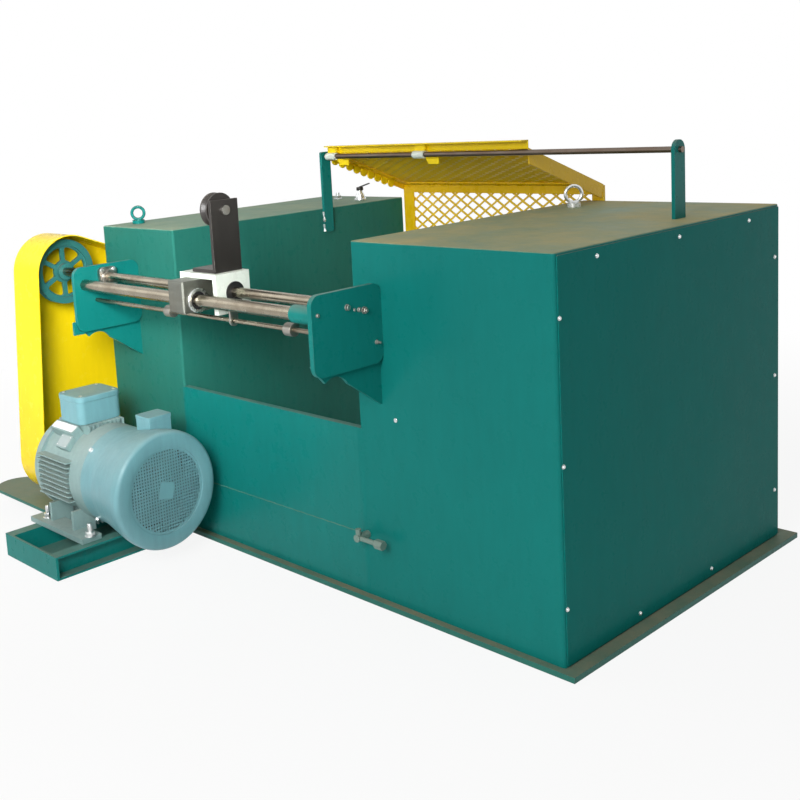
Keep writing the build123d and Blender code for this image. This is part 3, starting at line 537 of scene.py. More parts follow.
def cast_painted(name, colour, roughness):
    """Painted casting."""
    n, shader = new_material(name)
    skin = placed_group(n, "sand_casting", depth=0.0005)
    cloud = placed_group(n, "enamel_skin", wave=0.0, peel=0.0)
    wear_and_highlight = placed_group(n, "edge_wear_and_highlight", width=0.0016)
    dust_and_reflection_mask = placed_group(n, "dust_and_top_reflection", amount=0.5)
    base = n.mix(cloud["Cloud"], shade_of(colour, 0.82), shade_of(colour, 1.14))
    base = n.mix(n.times(skin["Tone"], 0.25), base, shade_of(colour, 0.8))
    base = n.mix(n.times(wear_and_highlight["Mask"], 0.5), base, (0.32, 0.33, 0.31, 1))
    base = n.mix(dust_and_reflection_mask["Mask"], base, (0.33, 0.31, 0.25, 1))
    rough = n.span(cloud["Scuff"], 0, 1, roughness * 0.85, roughness * 1.2)
    rough = n.plus(rough, n.times(dust_and_reflection_mask["Mask"], 0.25), clamp=True)
    surface(n, shader, base, rough, skin["Height"], wear_and_highlight["Rounded Normal"])


def bare_metal(name, colour, roughness, stain=(0.16, 0.11, 0.07), stain_share=0.5, depth=0.00002):
    """Bare or plated metal with turning marks, rubbed streaks and stains."""
    n, shader = new_material(name)
    grain = placed_group(n, "metal_grain", depth=depth)
    wear_and_highlight = placed_group(n, "edge_wear_and_highlight", width=0.0008)
    base = n.mix(grain["Rub"], shade_of(colour, 0.84), shade_of(colour, 1.1))
    base = n.mix(n.times(grain["Stain"], stain_share), base, shade_of(stain))
    shader.inputs["Metallic"].default_value = 1.0
    rough = n.span(grain["Rub"], 0, 1, roughness * 0.8, roughness * 1.35)
    rough = n.plus(rough, n.times(grain["Stain"], 0.16), clamp=True)
    surface(n, shader, base, rough, grain["Height"], wear_and_highlight["Rounded Normal"])


def dress(nodes, material):
    """Gives carried-over CAD nodes a finish."""
    for name in nodes:
        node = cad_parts[name]
        node.data.materials.clear()
        node.data.materials.append(MATERIALS[material])


class MACHINE_OT_finishes(bpy.types.Operator):
    """Builds every paint and metal finish of the machine"""

    bl_idname = "machine.finishes"
    bl_label = "Paints and metals"

    def execute(self, context):
        housing = context.scene.machine_housing
        green = housing.enamel
        rough = housing.gloss_roughness
        dust_and_reflection = housing.dust_and_reflection
        # The edge factors in these calls paint a highlight along edges.
        cabinet = {"peel": 0.00005, "painted_edge_highlight": 1.5}
        # The cabinets' dust colours also paint the warm reflection on their glossy tops: painted reflection.
        painted("cabinet_enamel", green, rough, dust_and_reflection, **cabinet, contrast=0.07, gloss=0.08,
                dust_and_reflection_colour=(0.60, 0.49, 0.23))
        painted("left_enamel", (0.022, 0.166, 0.130), rough, dust_and_reflection, **cabinet, gloss=0.08,
                dust_and_reflection_colour=(0.40, 0.46, 0.32))
        # The end cover's paint is a slightly darker copy of the housing green: painted shade on the machine's
        # shaded end.
        painted("cover_enamel_shaded", (0.003, 0.180, 0.160), rough, dust_and_reflection, **cabinet, contrast=0.07, gloss=0.03)
        plate = {"peel": 0.00006, "gloss": 0.12}
        painted("green_enamel", green, rough, dust_and_reflection * 0.6, **plate, contrast=0.10)
        painted("base_enamel", (0.030, 0.165, 0.130), rough, dust_and_reflection, **plate, dust_and_reflection_colour=(0.30, 0.26, 0.17))
        painted("seam_paint", (0.030, 0.205, 0.150), 0.4, dust_and_reflection, contrast=0.3, gloss=0.2, painted_edge_highlight=1.2)
        painted("green_pulley", (0.032, 0.170, 0.160), 0.3, 0.4, wear=0.7, gloss=0.3)
        painted("yellow_enamel", context.scene.machine_guard.yellow, 0.24, 0.12, wear=0.4, contrast=0.06,
                under=(0.30, 0.24, 0.10), dust_and_reflection_colour=(0.60, 0.45, 0.10), gloss=0.22)
        # The frame and mesh yellows are darker, more orange copies of the guard yellow, in part painted shade
        # for the slope's shaded underside.
        painted("frame_yellow_shaded", (0.96, 0.60, 0.008), 0.28, 0.1, wear=0.4, contrast=0.06,
                under=(0.34, 0.24, 0.10), dust_and_reflection_colour=(0.62, 0.45, 0.10), gloss=0.3)
        painted("mesh_yellow_shaded", (0.95, 0.60, 0.007), 0.34, 0.1, wear=0.4, contrast=0.12,
                under=(0.36, 0.22, 0.07), dust_and_reflection_colour=(0.60, 0.42, 0.10))
        painted("motor_enamel", context.scene.machine_motor.enamel, 0.36, 0.35, peel=0.0002, wave=0.001,
                dust_and_reflection_colour=(0.36, 0.34, 0.27))
        # White enamel's edge factor is under one, so its edges are painted darker: painted shade.
        painted("white_enamel", (0.74, 0.80, 0.72), 0.26, 0.3, wear=0.6, contrast=0.05,
                under=(0.30, 0.25, 0.16), dust_and_reflection_colour=(0.42, 0.38, 0.28), painted_edge_highlight=0.82)
        painted("black_enamel", (0.021, 0.018, 0.016), 0.34, 0.35, wear=0.8, contrast=0.3,
                under=(0.20, 0.18, 0.15), dust_and_reflection_colour=(0.15, 0.13, 0.10), painted_edge_highlight=2.2)
        painted("black_plastic", (0.012, 0.012, 0.013), 0.42, 0.3, peel=0.00025, wave=0.0, wear=0.2,
                contrast=0.25, under=(0.05, 0.05, 0.05), dust_and_reflection_colour=(0.12, 0.11, 0.09), painted_edge_highlight=2.0)
        painted("label_plate", (0.88, 0.90, 0.90), 0.3, 0.0, wear=0.3, contrast=0.06)
        painted("motor_plate", (0.36, 0.43, 0.43), 0.3, 0.2, wear=0.3, contrast=0.10)
        # The fan's paint is a darker copy of the motor enamel: painted shade on the fan inside its cover.
        painted("fan_paint_shaded", (0.070, 0.160, 0.180), 0.4, 0.2)
        # A near-black paint for the disc behind the fan: painted shade.
        painted("shade_disc_paint", (0.020, 0.028, 0.030), 0.7, 0.4, wear=0.1, contrast=0.4)
        cast_painted("motor_casting", (0.235, 0.360, 0.350), 0.42)
        cast_painted("cast_grey", (0.17, 0.26, 0.22), 0.4)
        bare_metal("ground_steel", (0.37, 0.33, 0.255), 0.22)
        bare_metal("machined_steel", (0.50, 0.49, 0.45), 0.34, depth=0.00005)
        bare_metal("dull_steel", (0.22, 0.23, 0.20), 0.5, stain_share=0.4, depth=0.00005)
        bare_metal("zinc", (0.78, 0.80, 0.80), 0.26, stain=(0.42, 0.40, 0.34), stain_share=0.3)
        bare_metal("rod_steel", (0.20, 0.16, 0.13), 0.38, stain=(0.13, 0.07, 0.04))
        return {"FINISHED"}


class MACHINE_OT_housing(bpy.types.Operator):
    """Paints the cabinets, base, brackets, rails, pulleys and belt guard"""

    bl_idname = "machine.housing"
    bl_label = "Housing paint"

    def execute(self, context):
        dress(["left_cabinet"], "left_enamel")
        dress(["right_cabinet"], "cabinet_enamel")
        dress(["front_sill", "left_bracket", "right_bracket", "left_motor_rail", "right_motor_rail",
               "motor_base_end", "left_post", "right_post"], "green_enamel")
        dress(["base_plate", "guard_shelf"], "base_enamel")
        dress(["traverse_pulley", "motor_pulley"], "green_pulley")
        dress(["belt_guard"], "yellow_enamel")
        return {"FINISHED"}


class MACHINE_OT_traverse(bpy.types.Operator):
    """Finishes the traverse's bars, carriage, arm and stops, and the guard's hinge rod"""

    bl_idname = "machine.traverse"
    bl_label = "Traverse finishes"

    bar_chamfer = 0.002
    ring_bore = 0.0245
    ring_radius = 0.0335
    ring_depth = 0.005

    def execute(self, context):
        self.make_bar("guide_bar", "guide_bar_turned", 0.0170, -0.0012, "housing")
        self.make_bar("traverse_shaft", "traverse_shaft_turned", 0.0145, 0.0, "traverse_shaft")
        self.make_slide_ring()
        dress(["stop_rod"], "ground_steel")
        dress(["slide_block"], "dull_steel")
        dress(["trip_fork", "left_stop_collar", "right_stop_collar", "left_shaft_bearing",
               "right_shaft_bearing", "motor_shaft", "roller_pin"], "machined_steel")
        dress(["carriage_block"], "white_enamel")
        dress(["running_bushes"], "black_plastic")
        dress(["guide_arm", "guide_roller"], "black_enamel")
        dress(["hinge_rod"], "rod_steel")
        return {"FINISHED"}

    def make_bar(self, node, name, radius, forward, body):
        """A ground bar with chamfered ends, a little forward of the solid's axis."""
        low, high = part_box(node)
        centre = middle_of(node)
        length = high[0] - low[0]
        edge = self.bar_chamfer
        profile = [(0, radius - edge), (edge, radius), (length - edge, radius), (length, radius - edge)]
        bm = bmesh.new()
        add_turned(bm, profile, (low[0], centre.y + forward, centre.z), AXIS_X, 64)
        bar = finish_piece(bm, name, "ground_steel", body)
        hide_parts(node)

    def make_slide_ring(self):
        """The bright flange ring round the bush on the slide block's right face."""
        centre = middle_of("guide_bar")
        centre.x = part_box("slide_block")[1][0]
        bore, rim, depth = self.ring_bore, self.ring_radius, self.ring_depth
        profile = [(0, bore), (0, rim), (depth - 0.0015, rim), (depth, rim - 0.0015), (depth, bore + 0.001),
                   (depth - 0.001, bore)]
        bm = bmesh.new()
        add_turned_shell(bm, profile, centre, AXIS_X, 48)
        finish_piece(bm, "slide_ring", "zinc", "carriage")


class MACHINE_OT_motor(bpy.types.Operator):
    """Builds the motor's fan cover, grille, fan, lids, bolts and blank plates over its castings"""

    bl_idname = "machine.motor"
    bl_label = "Motor"

    neck_length = 0.055
    flare_length = 0.145
    neck_radius = 0.148
    wall = 0.0025
    rim_edge = 0.013
    opening_radius = 0.127
    grille_sink = 0.004
    grille_depth = 0.0016
    grille_ring = 0.009
    centre_plate = 0.050
    fan_sink = 0.088
    fan_radius = 0.118
    hub_radius = 0.040
    blade_faces = (0.058, 0.061)
    blade_pitch = 0.016
    shade_disc_gap = 0.03
    shade_disc_radius = 0.146
    blade_spread = radians(19)
    lid_skirt = 0.019
    neck_drop = 0.024
    lid_screw = (0.003, 0.0055, 0.0014)
    lid_screw_inset = 0.016
    gland_drop = 0.032
    foot_depth = 0.016
    foot_bolt = 0.016
    foot_stud = 0.024
    foot_bolt_inset = 0.033
    foot_bolt_shifts = (("left_motor_rail", 0.004), ("right_motor_rail", -0.012))
    shield_bolts = ((1, -0.035, 0.126, 0.010), (0, 0.0, 0.055, 0.006))
    pad_base = 0.128
    plates = (
        {"name": "rating_plate", "finish": "motor_plate", "x": -0.667, "lean": 44, "width": 0.062,
         "height": 0.046, "reach": 0.159},
        {"name": "white_plate", "finish": "label_plate", "x": -0.700, "lean": 58, "width": 0.128,
         "height": 0.034, "reach": 0.171},
    )

    def execute(self, context):
        settings = context.scene.machine_motor
        dress(["motor_frame", "motor_end_shield", "motor_feet"], "motor_casting")
        dress(["terminal_box", "junction_box"], "motor_enamel")
        low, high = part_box("fan_cover")
        self.axis = middle_of("fan_cover")
        self.start = low[0]
        self.end = high[0]
        self.rim_radius = (high[2] - low[2]) / 2
        self.make_cover()
        self.make_grille(settings.grille_pitch, settings.grille_bar / 2)
        self.make_fan(settings.blade_count)
        self.make_terminal_box()
        self.make_junction_box()
        self.make_bolts()
        for plate in self.plates:
            self.make_plate(**plate)
        return {"FINISHED"}

    def on_axis(self, x):
        return Vector((x, self.axis.y, self.axis.z))

    def make_cover(self):
        """The pressed cover: a neck on the frame, a flare, and a rim rolled in to the grille."""
        length = self.end - self.start
        flare_end = self.neck_length + self.flare_length
        neck, rim, edge = self.neck_radius, self.rim_radius, self.rim_edge
        sunk = length - self.grille_sink - 0.001
        profile = [(0, neck), (self.neck_length - 0.004, neck), (self.neck_length + 0.006, neck + 0.0007),
                   (flare_end - 0.008, rim - 0.0012), (flare_end + 0.004, rim)]
        for a in quarter_turn(6):
            profile.append((length - edge + edge * sin(a), rim - edge + edge * cos(a)))
        profile += [(length, self.opening_radius + 0.003), (length - 0.0012, self.opening_radius),
                    (sunk, self.opening_radius), (sunk, rim - edge), (flare_end, rim - self.wall),
                    (self.neck_length, neck - self.wall), (0, neck - self.wall)]
        bm = bmesh.new()
        add_turned_shell(bm, profile, self.on_axis(self.start), AXIS_X, 96)
        cover = finish_piece(bm, "fan_cover_shell", "motor_enamel")
        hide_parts("fan_cover")

    def make_grille(self, pitch, half):
        """The punched grille: crossing bars in a ring, and the square plate in its middle."""
        face = self.end - self.grille_sink
        back = face - self.grille_depth
        skin = 0.0001
        reach = self.opening_radius + 0.002
        count = int(reach / pitch)
        _, y, z = self.axis
        bm = bmesh.new()
        for step in range(-count, count + 1):
            offset = step * pitch
            chord = sqrt(max(reach ** 2 - offset ** 2, 0))
            if chord < half:
                continue
            add_block(bm, (back, y + offset - half, z - chord), (face, y + offset + half, z + chord))
            add_block(bm, (back + skin, y - chord, z + offset - half),
                      (face - skin, y + chord, z + offset + half))
        inner = reach - self.grille_ring
        ring = [(0, inner), (0.0008, inner), (0.0008, reach), (0, reach)]
        add_turned_shell(bm, ring, self.on_axis(face - skin), AXIS_X, 96)
        finish_piece(bm, "fan_grille", "motor_enamel")
        lean = radians(12)
        bm = bmesh.new()
        size = self.centre_plate
        add_plate(bm, self.on_axis(face), AXIS_X, (0, sin(lean), cos(lean)), size, size, 0.0018, 0.003)
        finish_piece(bm, "grille_centre_plate", "motor_enamel", bevel=0.0004)

    def make_fan(self, blades):
        """The fan on its hub and disc, and a near-black disc behind it as painted shade inside the cover."""
        back = self.on_axis(self.end - self.fan_sink)
        rim, spread = self.fan_radius, self.blade_spread
        hub, tip = self.hub_radius, rim - 0.002
        outline = [(hub, -spread), (tip, -spread * 0.8), (rim, 0), (tip, spread * 0.8), (hub, spread)]
        bm = bmesh.new()
        add_turned(bm, [(0, 0.052), (0.056, 0.048), (0.064, 0.042), (0.066, 0)], back, AXIS_X, 48)
        add_turned(bm, [(0, rim), (0.003, rim)], back, AXIS_X, 64)
        for i in range(blades):
            middle = tau * (i + 0.96) / blades
            add_form(bm, [[(face + self.blade_pitch * sin(turn), r * cos(middle + turn), r * sin(middle + turn))
                           for r, turn in outline] for face in self.blade_faces], Matrix.Translation(back))
        finish_piece(bm, "cooling_fan", "fan_paint_shaded", bevel=0.0006)
        # A near-black disc behind the fan: painted shade seen through the grille.
        bm = bmesh.new()
        wall = self.shade_disc_radius
        add_turned(bm, [(0, wall), (0.002, wall)], self.on_axis(back.x - self.shade_disc_gap), AXIS_X, 64)
        finish_piece(bm, "fan_shade_disc", "shade_disc_paint")

    def make_terminal_box(self):
        """The terminal box's lid with its screws, and the neck below it."""
        low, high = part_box("terminal_box")
        x, y, _ = middle_of("terminal_box")
        width, depth = high[0] - low[0], high[1] - low[1]
        bm = bmesh.new()
        place = (x, y, high[2] - self.lid_skirt)
        add_slab(bm, place, width + 0.004, depth + 0.004, 0.024, self.lid_skirt + 0.0005, 6)
        finish_piece(bm, "terminal_box_lid", "motor_enamel", bevel=0.004)
        bm = bmesh.new()
        place = (x, y, low[2] - self.neck_drop)
        add_slab(bm, place, width * 0.8, depth * 0.7, 0.012, self.neck_drop + 0.002)
        finish_piece(bm, "terminal_box_neck", "motor_casting", bevel=0.002)
        bm = bmesh.new()
        inset = self.lid_screw_inset
        for dx, dy in CORNERS:
            place = (x + dx * (width / 2 - inset), y + dy * (depth / 2 - inset), high[2])
            add_turned(bm, rounded_profile(*self.lid_screw), place, AXIS_Z, 16)
        finish_piece(bm, "terminal_lid_screws", "zinc")

    def make_junction_box(self):
        """The junction box's lid and cable gland."""
        low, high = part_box("junction_box")
        x, y, _ = middle_of("junction_box")
        bm = bmesh.new()
        place = (x, y, high[2] - 0.012)
        add_slab(bm, place, high[0] - low[0] + 0.003, high[1] - low[1] + 0.003, 0.0075, 0.0125)
        finish_piece(bm, "junction_box_lid", "motor_enamel", bevel=0.002)
        bm = bmesh.new()
        z = high[2] - self.gland_drop
        add_hex_head(bm, (low[0] + 0.0005, y, z), -AXIS_X, 0.024, 0.006)
        gland = [(0, 0.0095), (0.004, 0.0095), (0.004, 0.011), (0.014, 0.011), (0.018, 0.0075), (0.018, 0.005)]
        add_turned(bm, gland, (low[0] - 0.0055, y, z), -AXIS_X, 32)
        finish_piece(bm, "cable_gland", "black_plastic", bevel=0.0005)

    def make_bolts(self):
        """Foot bolts, end shield bolts and the fan cover's screws."""
        low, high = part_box("motor_feet")
        foot_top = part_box("left_motor_rail")[1][2] + self.foot_depth
        bm = bmesh.new()
        for rail, shift in self.foot_bolt_shifts:
            x = middle_of(rail).x + shift
            for y in (low[1] + self.foot_bolt_inset, high[1] - self.foot_bolt_inset):
                add_bolt(bm, (x, y, foot_top), AXIS_Z, self.foot_bolt, self.foot_stud, 0.3 + x)
        finish_piece(bm, "motor_foot_bolts", "zinc", bevel=0.0006)
        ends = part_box("motor_end_shield")
        shield = bmesh.new()
        cover = bmesh.new()
        for i in range(4):
            a = radians(45 + 90 * i)
            out = Vector((0, cos(a), sin(a)))
            for end, shift, circle_radius, size in self.shield_bolts:
                add_bolt(shield, self.on_axis(ends[end][0] + shift) + out * circle_radius, -AXIS_X, size, 0, a)
            add_bolt(cover, self.on_axis(self.start + 0.008) + out * (self.neck_radius - 0.0004), out, 0.007)
        finish_piece(shield, "end_shield_bolts", "motor_casting", bevel=0.0005)
        finish_piece(cover, "fan_cover_screws", "zinc", bevel=0.0004)

    def make_plate(self, name, finish, x, lean, width, height, reach):
        """A blank plate with its rivets on a cast pad, at a distance from the motor's axis."""
        a = radians(lean)
        out = Vector((0, -cos(a), sin(a)))
        up = Vector((0, sin(a), cos(a)))
        base = self.pad_base
        bm = bmesh.new()
        add_plate(bm, self.on_axis(x) + out * base, out, up, width, height, reach - base - 0.0005, 0.005)
        finish_piece(bm, name + "_pad", "motor_casting", bevel=0.0015)
        bm = bmesh.new()
        add_plate(bm, self.on_axis(x) + out * (reach - 0.0006), out, up, width - 0.010, height - 0.010,
                  0.0008, 0.003)
        finish_piece(bm, name, finish)
        bm = bmesh.new()
        rivet = [(0, 0.0018), (0.0008, 0.0015), (0.0012, 0)]
        inset = 0.008
        for side, rise in CORNERS:
            place = self.on_axis(x + side * (width / 2 - inset)) + out * (reach + 0.0001)
            add_turned(bm, rivet, place + up * rise * (height / 2 - inset), out, 12)
        finish_piece(bm, name + "_rivets", "zinc")


class MACHINE_OT_guard(bpy.types.Operator):
    """Builds the hinged guard: expanded metal in an angle frame, hinge sleeves and tabs"""

    bl_idname = "machine.guard"
    bl_label = "Mesh guard"

    leg_thickness = 0.004
    bend_bar = 0.029
    bend_lift = 0.006
    mesh_inset = 0.006
    slope_twist = 2.4
    rear_twist = 1.1
    frame_gap = 0.006
    left_overhang = 0.018
    left_leg = 0.020
    post_lead = 0.012
    rear_flange = 0.048
    rear_right_leg = 0.008
    tooth_depth = 0.011
    top_leg = 0.026
    sleeve_places = (0, 0.390)
    sleeve_length = 0.046
    sleeve_radius = 0.01205
    tab_length = 0.050
    tab_height = 0.020

    def execute(self, context):
        self.settings = context.scene.machine_guard
        rear_low, rear_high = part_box("guard_rear")
        bar_low, bar_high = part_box("guard_top_bar")
        self.start = rear_low[0] - self.left_overhang
        self.end = rear_high[0]
        self.width = self.end - self.start
        self.top = (bar_high[1], bar_high[2] - self.top_leg)
        self.bend = (rear_low[1], rear_high[2] + self.bend_lift)
        down = Vector((0, self.bend[0] - self.top[0], self.bend[1] - self.top[1]))
        slope = self.panel_matrix(self.top, down)
        rear = self.panel_matrix(self.bend, -AXIS_Z)
        leg = self.settings.angle_width
        above_cabinet = (0, 0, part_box("right_cabinet")[1][2] + self.frame_gap)
        cuts = (((0, *self.top), -AXIS_Y), ((0, *self.bend), AXIS_Y), (above_cabinet, -AXIS_Z))
        self.make_mesh("slope_mesh", down.length, slope, self.slope_twist)
        frame_piece = self.make_frame("slope_frame", down.length, slope, (-self.left_leg, -leg), (leg, leg),
                                      self.post_lead, cuts)
        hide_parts("guard_slope")
        self.make_mesh_ends(slope, down.length)
        height = self.bend[1] - rear_low[2]
        self.make_mesh("rear_mesh", height, rear, self.rear_twist)
        rear = self.make_frame("rear_frame", height, rear, (leg, self.rear_right_leg), (self.rear_flange, leg))
        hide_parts("guard_rear")
        self.make_top_bar(bar_low, bar_high)
        self.make_hinges(bar_low[0], bar_high)
        return {"FINISHED"}

    def panel_matrix(self, origin, down):
        """Local frame of a panel: X along the machine, Y down the sheet, Z away from the recess."""
        down = Vector(down).normalized()
        turn = Matrix((AXIS_X, down, AXIS_X.cross(down))).transposed().to_4x4()
        return Matrix.Translation(Vector((self.start, *origin))) @ turn

    def make_mesh(self, name, length, matrix, twist):
        """Staggered diamonds whose strands tilt, trimmed a little inside the frame's outer edges."""
        half_long = self.settings.diamond_length / 2
        half_short = self.settings.diamond_height / 2
        strand = self.settings.strand_width / 2
        half = self.settings.strand_thickness / 2
        slant = atan2(half_short, half_long)
        tip = half_long - strand / sin(slant)
        side = half_short - strand / cos(slant)
        tilt = half * twist
        outer = [(-half_long, 0, 0), (0, -half_short, 0), (half_long, 0, 0), (0, half_short, 0)]
        inner = [(-tip, 0, 0), (0, -side, -tilt), (tip, 0, 0), (0, side, tilt)]
        bm = bmesh.new()
        for column in range(int(self.width / half_long) + 2):
            for row in range(column % 2, int(length / half_short) + 2, 2):
                shift = (column * half_long, row * half_short)
                rings = [add_loop(bm, points, Matrix.Translation((*shift, rise)))
                         for points, rise in ((outer, half), (inner, half), (inner, -half), (outer, -half))]
                for first, second in zip(rings, rings[1:]):
                    bridge(bm, first, second)
        bmesh.ops.remove_doubles(bm, verts=bm.verts, dist=1e-5)
        inset = self.mesh_inset
        for point, normal in (((inset, 0, 0), -AXIS_X), ((self.width - inset, 0, 0), AXIS_X),
                              ((0, inset, 0), -AXIS_Y), ((0, length - inset, 0), AXIS_Y)):
            cut_away(bm, point, normal)
        bmesh.ops.transform(bm, matrix=matrix @ Matrix.Translation((0, 0, half * 2.2)), verts=bm.verts)
        finish_piece(bm, name, "mesh_yellow_shaded", "mesh_guard", smooth_angle=20)

    def make_frame(self, name, length, matrix, legs, flanges, lead=0.0, cuts=()):
        """Side angles, whose legs stand off the sheet by signed depths, and flat bars across both ends."""
        thin = self.leg_thickness
        step = 0.003
        bm = bmesh.new()
        for side, edge, inward, first in ((0, 0, 1, lead), (1, self.width, -1, 0)):
            leg = legs[side]
            near = edge + inward * thin
            far = edge + inward * flanges[side]
            section = [(edge, step if leg < 0 else -thin), (edge, leg), (near, leg)]
            if leg < 0:
                section += [(near, -thin), (far, -thin), (far, 0.0), (near, step)]
            else:
                section += [(near, step), (near, 0.0), (far, 0.0), (far, -thin)]
            add_form(bm, [[(x, y, z) for x, z in section] for y in (first, length)], matrix)
        right = self.width - thin
        for low_y, left in ((0, thin + lead * 1.6), (length - self.bend_bar, thin)):
            high_y = low_y + self.bend_bar
            corners = [(left, low_y), (right, low_y), (right, high_y), (left, high_y)]
            add_form(bm, [[(x, y, z) for x, y in corners] for z in (-thin - 0.0004, -0.0002)], matrix)
        for point, normal in cuts:
            cut_away(bm, point, normal)
        return finish_piece(bm, name, "frame_yellow_shaded", "mesh_guard", bevel=0.0008)

    def make_mesh_ends(self, matrix, length):
        """The cut ends of the expanded metal, folded and welded along the left hanging leg."""
        pitch = self.settings.diamond_height
        half = pitch * 0.42
        margin = 0.035
        bm = bmesh.new()
        for i in range(int((length - margin - 0.005) / pitch)):
            middle = margin + i * pitch
            outline = [(middle + half, -0.004), (middle - half, -0.004)]
            for step in range(9):
                a = pi * step / 8
                outline.append((middle - half * cos(a), -self.left_leg - self.tooth_depth * sin(a)))
            add_form(bm, [[(x, y, z) for y, z in outline] for x in (0.0042, 0.0095)], matrix)
        finish_piece(bm, "folded_mesh_ends", "yellow_enamel", "mesh_guard", bevel=0.0022)

    def make_top_bar(self, low, high):
        """The angle above the rod."""
        thin = self.leg_thickness
        y, z = high[1], high[2]
        foot = z - self.top_leg
        section = [(low[1], z), (y, z), (y, foot), (y - thin, foot), (y - thin, z - thin), (low[1], z - thin)]
        bm = bmesh.new()
        add_form(bm, [[(x, *point) for point in section] for x in (low[0], self.end)])
        angle = finish_piece(bm, "top_angle", "yellow_enamel", "mesh_guard", bevel=0.0009)
        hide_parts("guard_top_bar")

    def make_hinges(self, start, bar_high):
        """The sleeves on the rod and the tabs that hold them to the angle."""
        rod_low, rod_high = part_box("hinge_rod")
        _, y, z = middle_of("hinge_rod")
        bore = (rod_high[2] - rod_low[2]) / 2 + 0.0001
        radius, length, edge = self.sleeve_radius, self.sleeve_length, 0.001
        loop = [(0, bore), (0, radius - edge), (edge, radius), (length - edge, radius), (length, radius - edge),
                (length, bore)]
        thin = self.leg_thickness
        under = z - radius
        sleeves = bmesh.new()
        tabs = bmesh.new()
        for offset in self.sleeve_places:
            x = start + offset
            tab = x + length
            tab_end = tab + self.tab_length
            add_turned_shell(sleeves, loop, (x, y, z), AXIS_X, 40)
            add_block(tabs, (x + 0.002, y + 0.002, z + radius - 0.002),
                      (tab - 0.002, bar_high[1] - thin, bar_high[2] - thin))
            add_block(tabs, (x, y + 0.004, under - 0.001), (tab_end, bar_high[1], under + thin))
            top, bottom = under + 0.002, under + 0.002 - self.tab_height
            outline = [(tab - 0.004, top), (tab + 0.010, bottom), (tab_end, bottom), (tab_end, top)]
            upright = Matrix.Translation((0, y + 0.008, 0)) @ Matrix.Rotation(pi / 2, 4, "X")
            add_prism(tabs, outline, thin, upright)
        finish_piece(sleeves, "hinge_sleeves", "white_enamel", "mesh_guard")
        finish_piece(tabs, "hinge_tabs", "yellow_enamel", "mesh_guard", bevel=0.0008)


